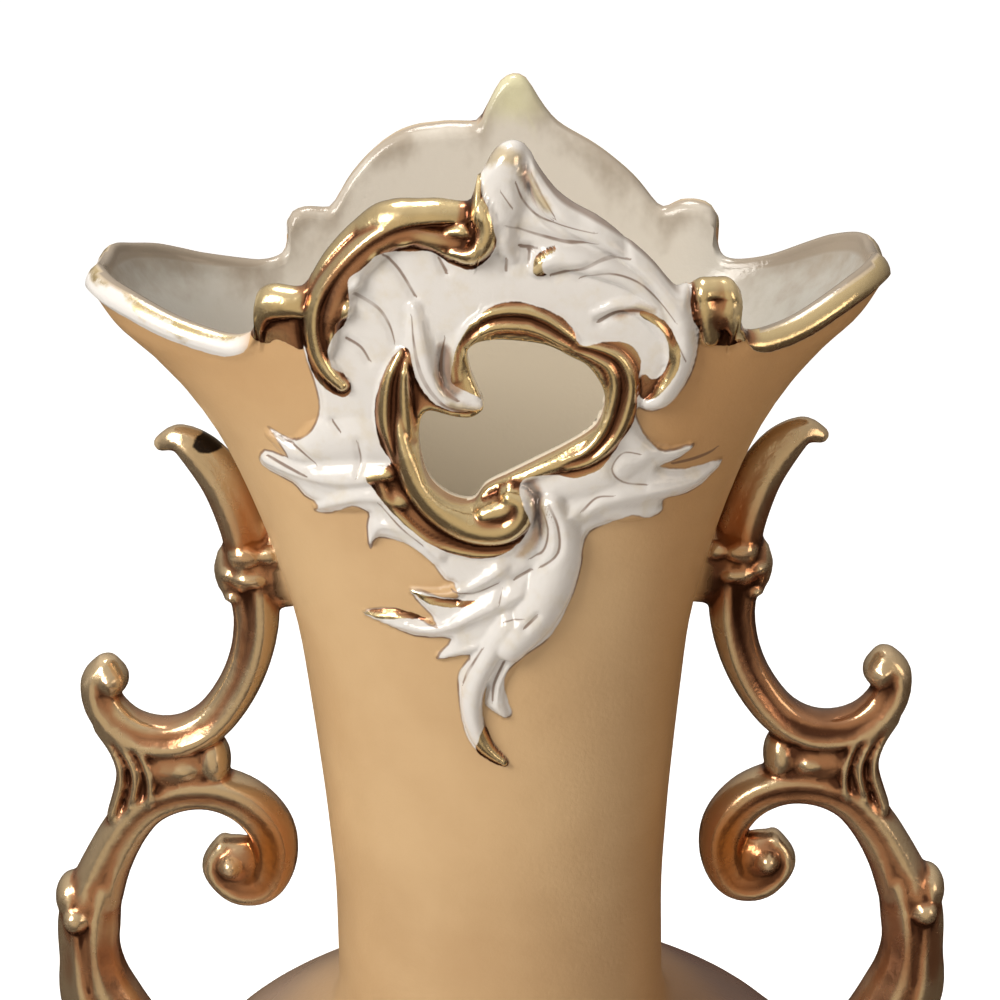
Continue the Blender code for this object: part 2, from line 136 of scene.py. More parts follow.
def near_path(x: np.ndarray, z: np.ndarray, path: np.ndarray) -> tuple[np.ndarray, ...]:
    """Nearest point of an open path to each place.

    Args:
        x: places across.
        z: places up.
        path: rows of x, z and half width.

    Returns:
        Distance, half width there, share of the path run, and signed side offset.
    """
    gap = np.full(x.shape, 1e3)
    half, run, side = np.ones(x.shape), np.zeros(x.shape), np.zeros(x.shape)
    lengths = np.hypot(*np.diff(path[:, :2], axis=0).T)
    total, before = max(lengths.sum(), 1e-6), 0.0
    for a, b, length in zip(path[:-1], path[1:], lengths):
        dx, dz = b[0] - a[0], b[1] - a[1]
        t = np.clip(((x - a[0]) * dx + (z - a[1]) * dz) / max(length**2, 1e-9), 0.0, 1.0)
        ex, ez = x - a[0] - t * dx, z - a[1] - t * dz
        d = np.hypot(ex, ez)
        better = d < gap
        gap = np.where(better, d, gap)
        half = np.where(better, a[2] + t * (b[2] - a[2]), half)
        run = np.where(better, (before + t * length) / total, run)
        side = np.where(better, (dx * ez - dz * ex) / max(length, 1e-9), side)
        before += length
    return gap, half, run, side


def inside_gap(x: np.ndarray, z: np.ndarray, outline: np.ndarray) -> np.ndarray:
    """Distance to a closed outline, positive inside it."""
    gap = np.full(x.shape, 1e3)
    inside = np.zeros(x.shape, bool)
    for a, b in zip(outline, np.roll(outline, -1, axis=0)):
        dx, dz = b[0] - a[0], b[1] - a[1]
        t = ((x - a[0]) * dx + (z - a[1]) * dz) / max(dx * dx + dz * dz, 1e-9)
        t = np.clip(t, 0, 1)
        gap = np.minimum(gap, np.hypot(x - a[0] - t * dx, z - a[1] - t * dz))
        if a[1] != b[1]:
            crosses = (a[1] > z) != (b[1] > z)
            inside ^= crosses & (x < a[0] + (z - a[1]) * dx / dz)
    return np.where(inside, gap, -gap)


@dataclass(frozen=True)
class Profile:
    """Smooth table of a size against height, as (height, size) points."""

    points: Points

    def at(self, z: np.ndarray) -> np.ndarray:
        """Size at each height.

        Args:
            z: heights.

        Returns:
            The sizes, held at the ends of the table.
        """
        zs, vs = np.array(self.points, float).T
        h = np.diff(zs)
        rise = np.diff(vs) / h
        slope = np.concatenate([rise[:1], np.zeros(len(rise) - 1), rise[-1:]])
        a, b = rise[:-1], rise[1:]
        same = a * b > 0
        slope[1:-1][same] = 2 * a[same] * b[same] / (a[same] + b[same])
        z = np.clip(z, zs[0], zs[-1])
        i = np.clip(np.searchsorted(zs, z, side="right") - 1, 0, len(h) - 1)
        t = (z - zs[i]) / h[i]
        return ((2 * t**3 - 3 * t**2 + 1) * vs[i] + (t**3 - 2 * t**2 + t) * h[i] * slope[i]
                + (3 * t**2 - 2 * t**3) * vs[i + 1] + (t**3 - t**2) * h[i] * slope[i + 1])


class Crest(Enum):
    """Cross-section of a moulded stroke."""

    ROLL = "roll"
    TROUGH = "trough"
    LEAF = "leaf"


@dataclass(frozen=True)
class Stroke:
    """One scroll or leaf of the relief: its midline with half widths, height and crest."""

    path: Points
    height: float
    crest: Crest = Crest.ROLL
    copper: float = 0.0

    def rise(self, x: np.ndarray, z: np.ndarray) -> np.ndarray:
        """Height of the stroke over the neck at each place, 0 outside it."""
        path = spline(self.path)
        reach = path[:, 2].max() + 0.5
        out = np.zeros(x.shape)
        near = ((x > path[:, 0].min() - reach) & (x < path[:, 0].max() + reach)
                & (z > path[:, 1].min() - reach) & (z < path[:, 1].max() + reach))
        if not near.any():
            return out
        gap, half, _run, side = near_path(x[near], z[near], path)
        u = gap / np.maximum(half, 0.25)
        signed = np.clip(side / np.maximum(half, 0.25), -1.2, 1.2)
        dome = np.sqrt(np.clip(1.0 - u**2, 0.0, 1.0))
        if self.crest is Crest.TROUGH:
            dome = dome * (1.0 - 0.42 * np.exp(-(signed / 0.36) ** 2))
        elif self.crest is Crest.LEAF:
            dome = (0.55 * dome + 0.45 * np.clip(1.0 - u, 0.0, 1.0)
                    - 0.16 * np.exp(-((signed - 0.45) / 0.2) ** 2) * (u < 1.0))
        slim = np.minimum(1.0, 0.34 + 0.26 * half)
        out[near] = np.clip(dome, 0.0, 1.0) * self.height * slim
        return out


@dataclass(frozen=True)
class Relief:
    """Rocaille cartouche round the pierced opening of the front pediment."""

    ground_height: float = 1.3
    ground_edge: float = 1.3
    outline: Points = (
        (-2.3, 343.9), (-1.7, 346.1), (0.8, 350.3), (4.2, 351.9), (7.8, 350.1), (9.1, 346.7),
        (13.4, 341.7), (20.6, 337.4), (28.5, 333.6), (32.9, 329.1), (35.9, 324.0),
        (37.4, 319.8), (37.9, 313.6), (36.4, 307.4), (33.2, 302.9), (29.6, 301.3),
        (27.1, 302.3), (26.8, 300.4), (28.9, 296.1), (32.1, 293.4), (37.4, 293.7),
        (34.9, 291.4), (31.2, 290.2), (36.0, 288.9), (43.0, 288.9), (40.3, 285.5),
        (36.5, 283.7), (32.0, 283.5), (31.7, 281.1), (29.4, 280.3), (26.1, 281.8),
        (22.1, 280.3), (18.4, 278.9), (17.0, 275.7), (16.8, 272.8), (15.3, 267.0),
        (13.2, 262.2), (10.6, 258.2), (6.9, 255.6), (3.6, 253.2), (2.4, 249.8), (3.1, 245.7),
        (3.7, 243.8), (2.8, 242.8), (-1.1, 245.2), (-0.8, 249.3), (-1.7, 246.4),
        (-1.5, 241.7), (0.2, 237.3), (2.7, 233.8), (2.1, 232.8), (-1.4, 234.5),
        (-4.5, 238.1), (-5.7, 243.6), (-6.1, 249.7), (-5.7, 252.2), (-3.8, 255.6),
        (-9.9, 254.7), (-7.2, 258.6), (-13.8, 258.8), (-18.6, 260.5), (-23.6, 262.4),
        (-17.4, 264.0), (-9.5, 261.4), (-14.6, 268.2), (-6.1, 266.9), (-6.4, 269.7),
        (-8.2, 270.5), (-10.8, 274.3), (-15.1, 277.3), (-20.4, 278.1), (-21.6, 275.7),
        (-22.0, 280.1), (-21.7, 282.9), (-24.6, 284.4), (-28.5, 282.1), (-31.8, 281.9),
        (-31.0, 283.5), (-33.6, 284.7), (-35.8, 287.0), (-41.7, 289.3), (-40.8, 292.8),
        (-36.2, 292.4), (-38.2, 296.3), (-39.7, 298.0), (-36.6, 296.4), (-34.6, 296.2),
        (-31.3, 298.7), (-29.8, 302.7), (-30.4, 307.4), (-32.2, 314.0), (-32.5, 320.9),
        (-32.3, 325.4), (-29.0, 330.6), (-23.8, 336.5), (-17.6, 340.6), (-10.6, 342.6),
    )
    opening: Points = (
        (-3.1, 313.5), (-2.0, 315.0), (0.3, 315.7), (4.0, 315.8), (10.7, 314.8),
        (15.6, 312.3), (18.0, 310.9), (19.8, 308.6), (21.0, 306.0), (21.2, 303.1),
        (20.3, 300.0), (18.5, 297.8), (14.0, 295.2), (9.2, 292.9), (4.1, 290.4),
        (-0.2, 288.2), (-2.6, 285.4), (-6.0, 285.8), (-8.8, 287.6), (-10.6, 289.9),
        (-11.7, 293.5), (-12.1, 297.5), (-11.7, 301.0), (-10.9, 302.5), (-9.5, 302.9),
        (-5.4, 301.8), (-2.4, 301.7), (-0.4, 303.3), (-1.3, 306.0), (-2.6, 309.5),
    )
    gilt: tuple[Points, ...] = (
        # crest scroll with its scalloped inner lip
        ((-0.9, 344.5), (-2.6, 344.2), (-7.1, 343.2), (-14.1, 342.3), (-21.1, 339.3),
         (-26.9, 333.8), (-30.9, 328.4), (-32.8, 323.3), (-32.3, 316.9), (-30.9, 309.9),
         (-29.2, 307.5), (-26.9, 305.7), (-24.8, 305.4), (-23.8, 307.2), (-24.8, 309.7),
         (-27.0, 311.3), (-27.6, 314.2), (-26.6, 317.0), (-24.4, 319.1), (-23.5, 322.8),
         (-23.5, 325.6), (-23.4, 327.6), (-21.4, 329.0), (-19.8, 330.2), (-18.2, 331.8),
         (-13.5, 332.0), (-9.1, 331.9), (-6.0, 329.8), (-2.2, 328.6), (1.1, 330.4),
         (2.4, 333.9), (1.9, 337.1), (1.1, 340.1), (-0.1, 342.7), (-0.3, 344.8),
         (1.4, 347.9), (4.4, 349.8), (3.4, 351.8), (0.8, 351.4), (-1.3, 349.0)),
        # crown and both sides of the opening with the lower volute
        ((-6.0, 308.1), (-5.8, 311.1), (-3.9, 317.0), (0.3, 321.5), (5.5, 322.8),
         (11.6, 321.1), (15.3, 318.1), (17.0, 314.7), (20.7, 315.1), (25.3, 314.7),
         (27.6, 311.3), (26.9, 306.1), (26.6, 300.4), (23.9, 296.2), (20.4, 291.6),
         (15.8, 290.0), (11.3, 290.8), (7.4, 290.4), (5.9, 289.3), (6.1, 287.2),
         (7.6, 283.3), (7.4, 280.4), (4.3, 276.7), (-1.2, 275.0), (-8.7, 276.9),
         (-15.5, 282.1), (-20.2, 287.7), (-21.6, 290.0), (-21.1, 292.1), (-17.1, 293.1),
         (-18.8, 296.7), (-19.8, 303.2), (-18.0, 309.8), (-15.4, 314.0), (-14.0, 314.7),
         (-13.1, 314.0), (-12.2, 309.3), (-9.8, 305.2), (-6.0, 302.9), (-1.0, 303.3),
         (-0.9, 305.1), (-3.4, 306.6)),
        # tip of the upper tongue
        ((13.0, 332.7), (11.0, 332.3), (9.4, 331.0), (8.8, 329.6), (8.8, 328.1),
         (9.7, 327.3), (11.2, 327.4), (10.5, 328.3), (10.3, 329.5), (11.2, 331.2),
         (12.6, 331.9)),
        # curl of the lower tongue
        ((27.7, 320.9), (30.6, 319.6), (32.9, 317.1), (34.4, 313.4), (34.1, 309.8),
         (32.3, 306.6), (29.6, 304.3), (27.6, 304.3), (27.0, 307.0), (28.1, 308.9),
         (29.9, 307.6), (31.7, 309.2), (32.6, 312.2), (32.1, 315.3), (30.2, 318.0),
         (27.4, 319.8)),
        # edges of the hanging spray
        ((-14.6, 268.3), (-9.0, 266.9), (-2.8, 266.7), (-0.6, 267.1), (-5.0, 265.3),
         (-10.8, 265.9)),
        ((-23.6, 262.5), (-17.4, 264.0), (-9.5, 261.7), (-14.6, 262.5), (-19.5, 262.1)),
        ((-1.4, 241.3), (0.2, 237.4), (2.7, 233.9), (2.1, 232.6), (-1.6, 234.4),
         (-3.2, 236.6)),
    )
    lobe_gilt: tuple[Points, ...] = (
        ((-42.8, 320.6), (-41.8, 323.4), (-38.4, 325.4), (-33.4, 325.2), (-31.2, 323.5),
         (-31.6, 317.0), (-32.5, 313.6), (-35.0, 314.8), (-37.0, 315.4), (-38.8, 314.6),
         (-41.6, 316.0)),
        ((36.4, 322.8), (37.6, 325.6), (41.4, 326.6), (45.6, 325.6), (47.4, 322.4),
         (46.6, 319.8), (47.6, 317.6), (49.6, 316.6), (49.6, 313.8), (46.7, 313.6),
         (44.4, 312.9), (41.1, 312.9), (39.1, 313.5), (37.9, 316.7), (36.6, 319.1)),
    )
    washes: tuple[Points, ...] = (
        ((-0.5, 348.0), (0.9, 349.7), (3.4, 350.3), (5.9, 349.8), (7.3, 348.4), (6.0, 347.0),
         (3.3, 347.7), (1.1, 346.7)),
        ((6.7, 347.8), (8.3, 346.1), (9.4, 343.8), (11.1, 341.2), (12.5, 339.2),
         (10.9, 338.7), (8.9, 340.7), (7.4, 343.0), (6.4, 345.8)),
        ((-1.9, 343.1), (-1.4, 346.2), (-0.1, 348.3), (0.7, 347.2), (-0.2, 344.8),
         (-0.6, 342.0)),
        ((22.5, 319.6), (24.8, 321.3), (27.7, 321.9), (30.2, 320.7), (29.2, 319.6),
         (26.5, 320.1), (24.2, 319.1)),
        ((-7.8, 315.6), (-6.0, 314.3), (-4.7, 309.8), (-3.9, 307.0), (-5.7, 305.3),
         (-7.6, 306.1), (-8.6, 308.9), (-8.5, 312.5)),
        ((6.5, 290.0), (8.8, 290.3), (10.2, 286.1), (10.7, 282.2), (9.5, 278.4),
         (7.2, 275.4), (5.0, 275.3), (7.2, 278.5), (8.0, 282.3), (7.7, 286.2)),
        ((-6.6, 305.0), (-2.7, 304.0), (-0.8, 303.6), (-1.3, 302.3), (-3.7, 302.2),
         (-6.3, 303.1)),
    )
    strokes: tuple[Stroke, ...] = (
        # crest scroll: roll, copper band inside it, scalloped lip and turned end
        Stroke(((-1.2, 339.4, 2.3), (-4.7, 339.3, 2.4), (-9.1, 338.9, 2.3),
                (-13.1, 337.9, 2.1), (-19.2, 334.6, 2.0), (-24.8, 329.5, 1.9),
                (-28.9, 323.8, 1.9), (-30.0, 318.9, 2.0), (-29.5, 314.0, 1.9),
                (-27.7, 310.3, 1.8), (-25.4, 307.8, 1.5)), 4.6),
        Stroke(((-4.0, 333.2, 2.2), (-9.3, 334.4, 2.3), (-13.7, 335.2, 2.4),
                (-17.8, 333.4, 2.7), (-21.6, 330.2, 3.0), (-24.6, 326.3, 3.0),
                (-26.4, 322.0, 2.7), (-27.8, 317.8, 2.2), (-28.3, 314.1, 1.6)), 3.6,
               copper=1.0),
        Stroke(((-5.3, 331.1, 0.8), (-8.0, 332.8, 0.9), (-11.0, 333.9, 0.8),
                (-13.7, 333.8, 1.2), (-16.6, 332.7, 0.6), (-19.1, 331.4, 1.4),
                (-21.3, 329.4, 0.6), (-22.2, 326.7, 1.4), (-23.9, 324.6, 0.6),
                (-24.1, 321.8, 1.4), (-26.1, 319.3, 0.6), (-26.9, 316.7, 1.1),
                (-27.4, 313.5, 0.6)), 5.4),
        Stroke(((-7.0, 339.2, 1.9), (-3.4, 339.9, 2.3), (-0.4, 339.3, 2.5),
                (0.9, 336.6, 2.5), (0.2, 333.6, 2.5), (-2.2, 331.7, 2.3),
                (-5.2, 332.0, 1.5)), 5.2),
        Stroke(((-5.6, 335.4, 1.4), (-3.4, 335.6, 1.9), (-2.2, 335.0, 1.4)), 4.4),
        Stroke(((4.0, 348.0, 3.8), (3.8, 343.5, 4.6), (2.9, 339.0, 4.2),
                (3.4, 334.5, 2.8), (5.0, 330.5, 1.2)), 3.6),
        Stroke(((8.6, 345.0, 1.3), (12.0, 339.5, 2.0), (18.0, 335.6, 2.4),
                (25.5, 331.6, 2.6), (31.5, 325.4, 2.7), (34.7, 318.0, 2.7),
                (34.6, 310.5, 2.5), (31.6, 304.6, 2.4), (29.0, 303.2, 1.4)), 3.6),
        Stroke(((7.0, 341.0, 1.0), (11.0, 336.0, 1.5), (17.5, 331.5, 1.7),
                (25.0, 327.6, 1.4), (29.4, 323.2, 0.8)), 2.4, Crest.LEAF),
        Stroke(((9.2, 328.6, 1.6), (13.2, 330.6, 2.4), (20.0, 328.9, 2.4),
                (26.5, 325.8, 1.9), (31.5, 319.8, 1.0)), 3.8),
        Stroke(((19.6, 320.4, 1.0), (24.0, 321.8, 1.6), (28.8, 320.2, 2.0),
                (32.6, 315.4, 1.9), (33.4, 310.2, 1.5)), 3.2),
        Stroke(((-5.0, 308.6, 1.0), (-4.6, 313.4, 1.7), (-2.4, 317.2, 2.2),
                (1.0, 319.4, 2.7), (5.5, 319.9, 3.0), (10.0, 318.8, 2.8),
                (14.0, 316.2, 2.2), (16.4, 314.2, 1.4)), 3.2, Crest.TROUGH, 0.6),
        # right side of the opening and the strip below it
        Stroke(((16.2, 314.2, 1.2), (19.8, 313.2, 2.1), (23.0, 311.2, 2.7),
                (24.4, 307.3, 3.1), (23.7, 302.5, 3.2), (21.8, 297.8, 2.9),
                (18.4, 294.2, 2.3), (14.2, 292.6, 1.7)), 3.4, Crest.TROUGH, 0.6),
        Stroke(((18.4, 294.6, 1.6), (14.2, 293.0, 1.8), (9.2, 291.2, 1.5),
                (5.6, 289.4, 1.1)), 2.6),
        # left side of the opening, one roll that curls into the lower volute
        Stroke(((-14.3, 313.4, 1.6), (-15.8, 308.6, 3.0), (-16.2, 302.2, 3.8),
                (-15.4, 296.8, 3.2), (-14.4, 292.4, 2.2)), 4.4, Crest.TROUGH, 0.5),
        Stroke(((-15.4, 303.4, 0.8), (-15.2, 299.4, 1.7), (-14.2, 295.0, 2.6),
                (-12.9, 291.0, 3.1), (-10.2, 286.7, 3.4), (-6.4, 283.3, 3.6),
                (-1.9, 281.2, 3.6), (2.7, 281.0, 3.3), (5.6, 283.2, 3.0),
                (5.9, 286.0, 2.6), (4.0, 287.2, 2.3)), 5.4),
        Stroke(((-0.4, 284.0, 2.6), (2.8, 284.8, 3.1), (3.8, 285.6, 2.8)), 5.0),
        # thinner roll outside it, hooked at its top
        Stroke(((-16.6, 292.0, 1.2), (-19.4, 291.5, 1.5), (-18.7, 287.3, 1.7),
                (-15.8, 282.6, 1.6), (-11.2, 278.6, 1.4), (-5.7, 276.5, 1.2),
                (-0.2, 275.7, 1.1), (4.4, 276.4, 0.7)), 3.2, copper=0.8),
        Stroke(((-12.2, 322.0, 1.4), (-11.6, 315.0, 2.6), (-10.2, 309.5, 2.4),
                (-7.6, 305.6, 2.1), (-4.0, 303.6, 1.4), (-1.2, 303.2, 0.7)), 3.4),
        Stroke(((-15.5, 296.0, 3.4), (-22.0, 297.4, 4.6), (-28.5, 296.6, 4.4),
                (-34.5, 293.8, 2.4), (-39.5, 296.4, 0.9)), 2.2),
        Stroke(((-18.0, 291.0, 3.0), (-26.0, 289.4, 4.0), (-33.5, 289.6, 2.6),
                (-40.5, 291.0, 1.6)), 3.0, Crest.LEAF),
        Stroke(((-16.0, 285.5, 2.9), (-22.0, 286.4, 3.4), (-27.0, 285.0, 2.4),
                (-31.4, 283.0, 1.0)), 2.6, Crest.LEAF),
        Stroke(((-9.0, 275.6, 2.5), (-14.0, 279.6, 2.5), (-19.4, 280.8, 2.0),
                (-21.6, 277.2, 0.8)), 2.4, Crest.LEAF),
        Stroke(((2.0, 272.6, 3.0), (-3.0, 269.4, 2.0), (-8.0, 267.6, 1.2),
                (-14.2, 267.8, 0.6)), 2.6, Crest.LEAF),
        Stroke(((5.5, 268.0, 3.6), (-2.0, 264.4, 3.0), (-9.0, 261.0, 2.0),
                (-15.0, 260.8, 1.4), (-23.0, 262.4, 0.6)), 2.8, Crest.LEAF),
        Stroke(((5.5, 260.5, 3.2), (-1.0, 258.0, 2.0), (-5.5, 256.6, 1.3),
                (-9.6, 254.9, 0.6)), 2.6, Crest.LEAF),
        Stroke(((11.4, 285.0, 2.6), (13.2, 278.0, 4.0), (11.6, 270.0, 4.4),
                (8.0, 263.0, 4.2), (3.6, 257.6, 3.4)), 4.1),
        Stroke(((3.4, 262.0, 2.6), (-0.4, 256.0, 2.6), (-3.2, 249.4, 2.3),
                (-3.6, 243.0, 1.9), (-1.6, 237.4, 1.5), (2.2, 233.6, 0.6)), 3.4),
        Stroke(((5.5, 257.0, 1.8), (1.8, 251.0, 1.4), (1.0, 246.0, 1.5),
                (2.4, 243.4, 0.8)), 2.4, Crest.LEAF),
        Stroke(((12.0, 287.4, 3.0), (20.0, 289.4, 4.2), (26.0, 292.2, 3.2),
                (30.4, 293.2, 1.4)), 2.0),
        Stroke(((14.0, 282.6, 3.0), (22.0, 285.4, 4.2), (30.0, 286.0, 2.8),
                (37.0, 286.2, 1.9), (42.4, 288.6, 0.6)), 3.1, Crest.LEAF),
        Stroke(((22.0, 283.0, 2.2), (28.0, 281.6, 1.6), (31.2, 281.8, 0.8)), 2.3),
        Stroke(((24.5, 297.6, 1.8), (29.0, 293.6, 1.8), (33.0, 292.6, 1.2),
                (37.0, 293.4, 0.5)), 2.0),
        Stroke(((-40.8, 317.0, 1.4), (-39.2, 320.8, 2.3), (-35.6, 322.0, 2.6),
                (-31.6, 321.4, 1.9)), 2.8),
        Stroke(((39.6, 319.4, 3.4), (43.6, 318.8, 3.2)), 2.5),
        Stroke(((38.2, 323.2, 1.8), (41.4, 323.8, 2.1), (44.6, 322.8, 1.7)), 3.4),
        Stroke(((38.9, 322.4, 1.9), (39.3, 318.4, 2.3), (40.0, 314.8, 1.9)), 2.9),
        Stroke(((43.4, 322.8, 1.9), (43.9, 319.2, 2.2), (44.9, 315.8, 1.9),
                (48.2, 315.0, 1.2)), 3.1),
    )
    veins: tuple[Points, ...] = (
        ((-17.3, 331.6, 0.30), (-14.6, 328.6, 0.34), (-12.0, 324.0, 0.30)),
        ((-22.6, 324.4, 0.38), (-18.6, 321.8, 0.36), (-16.6, 318.6, 0.28),
         (-15.8, 315.6, 0.16)),
        ((-24.2, 316.2, 0.34), (-21.8, 314.6, 0.32), (-20.4, 312.2, 0.26)),
        ((-7.6, 330.6, 0.30), (-6.4, 328.2, 0.36)),
        ((4.2, 330.4, 0.30), (4.0, 328.4, 0.34)),
        ((-12.6, 320.6, 0.14), (-12.4, 316.6, 0.26), (-11.8, 312.0, 0.42),
         (-10.6, 308.4, 0.46), (-8.6, 305.4, 0.42), (-6.2, 303.4, 0.40),
         (-1.2, 302.5, 0.44)),
        ((-6.9, 316.4, 0.16), (-7.6, 313.0, 0.34), (-7.8, 309.4, 0.44),
         (-7.0, 306.6, 0.40), (-5.0, 305.0, 0.30)),
        ((6.6, 332.6, 0.40), (9.2, 332.2, 0.34)), ((8.2, 332.2, 0.34), (8.0, 329.6, 0.30)),
        ((3.4, 342.6, 0.16), (5.2, 339.8, 0.20)),
        ((6.0, 344.0, 0.22), (7.4, 340.4, 0.26), (10.2, 337.6, 0.26), (14.6, 336.2, 0.20),
         (19.6, 335.0, 0.12)),
        ((8.8, 345.2, 0.28), (10.6, 341.4, 0.26), (12.6, 338.0, 0.18)),
        ((4.2, 336.6, 0.18), (9.6, 334.6, 0.30), (15.0, 333.2, 0.40), (20.0, 333.0, 0.12)),
        ((12.0, 327.4, 0.30), (17.0, 328.6, 0.36), (21.0, 330.2, 0.36), (25.4, 330.2, 0.30)),
        ((17.0, 326.8, 0.18), (22.0, 327.8, 0.26), (27.0, 326.0, 0.24), (31.0, 322.0, 0.20),
         (33.6, 318.6, 0.14)),
        ((20.2, 318.8, 0.40), (24.0, 320.6, 0.38), (29.0, 320.2, 0.28), (33.0, 316.2, 0.22),
         (35.4, 311.4, 0.20)),
        ((10.8, 286.0, 0.32), (12.6, 281.4, 0.30), (12.6, 276.4, 0.30), (9.4, 273.4, 0.26)),
        ((9.2, 286.4, 0.24), (10.8, 281.0, 0.24), (10.0, 276.6, 0.26), (7.6, 274.6, 0.20)),
        ((-19.6, 285.2, 0.22), (-16.6, 281.6, 0.24), (-12.0, 277.6, 0.22)),
        ((-40.0, 292.0, 0.30), (-36.6, 290.8, 0.36), (-33.0, 289.6, 0.30)),
        ((-38.6, 297.4, 0.34), (-34.0, 294.8, 0.30), (-31.0, 292.0, 0.18)),
        ((-27.4, 300.6, 0.26), (-26.2, 299.0, 0.26)),
        ((-23.0, 297.0, 0.24), (-22.6, 293.4, 0.22), (-23.4, 290.4, 0.16)),
        ((33.6, 290.4, 0.30), (37.4, 290.6, 0.40), (40.6, 291.2, 0.34), (42.0, 292.0, 0.2)),
        ((27.4, 293.6, 0.18), (24.4, 294.0, 0.2), (22.4, 291.2, 0.24), (24.4, 288.4, 0.24),
         (28.6, 287.4, 0.2)),
        ((17.0, 283.8, 0.30), (19.6, 286.0, 0.22), (22.6, 286.2, 0.16)),
        ((4.8, 270.8, 0.34), (7.6, 272.4, 0.36)), ((6.4, 262.0, 0.34), (8.6, 264.2, 0.36)),
        ((2.8, 263.0, 0.20), (6.0, 263.6, 0.16)),
        ((-6.6, 268.6, 0.24), (-3.0, 268.0, 0.22), (1.6, 270.0, 0.16)),
        ((-1.4, 257.6, 0.20), (-4.0, 253.0, 0.28), (-5.2, 250.0, 0.18)),
        ((2.6, 254.6, 0.30), (0.6, 250.0, 0.32), (0.2, 246.4, 0.22)),
        ((2.4, 268.8, 0.14), (1.8, 266.4, 0.22)),
    )

    def rise(self, x: np.ndarray, z: np.ndarray, cover: np.ndarray) -> np.ndarray:
        """Height of the relief over the neck.

        Args:
            x: places across.
            z: places up.
            cover: distance inside the white ground's outline.

        Returns:
            Heights in millimetres.
        """
        high = self.ground_height * soft_step(cover, 0.0, self.ground_edge)
        for stroke in self.strokes:
            high = soft_max(high, stroke.rise(x, z), 0.45)
        for vein in self.veins:
            gap, half, _run, _side = near_path(x, z, spline(vein, 4))
            high = high - 0.55 * half / 0.3 * np.exp(-(gap / 0.75) ** 2) * soft_step(
                cover, 0.2, 1.0)
        return np.clip(high, 0.0, None)

    def crest_back(self, x: np.ndarray, z: np.ndarray) -> np.ndarray:
        """Lower, plainer crest moulding on the back of the mouth."""
        high = np.zeros(x.shape)
        for stroke in (self.strokes[0], self.strokes[3], self.strokes[4],
                       self.strokes[-3], self.strokes[-2]):
            high = soft_max(high, 0.6 * stroke.rise(x, z), 0.45)
        return high


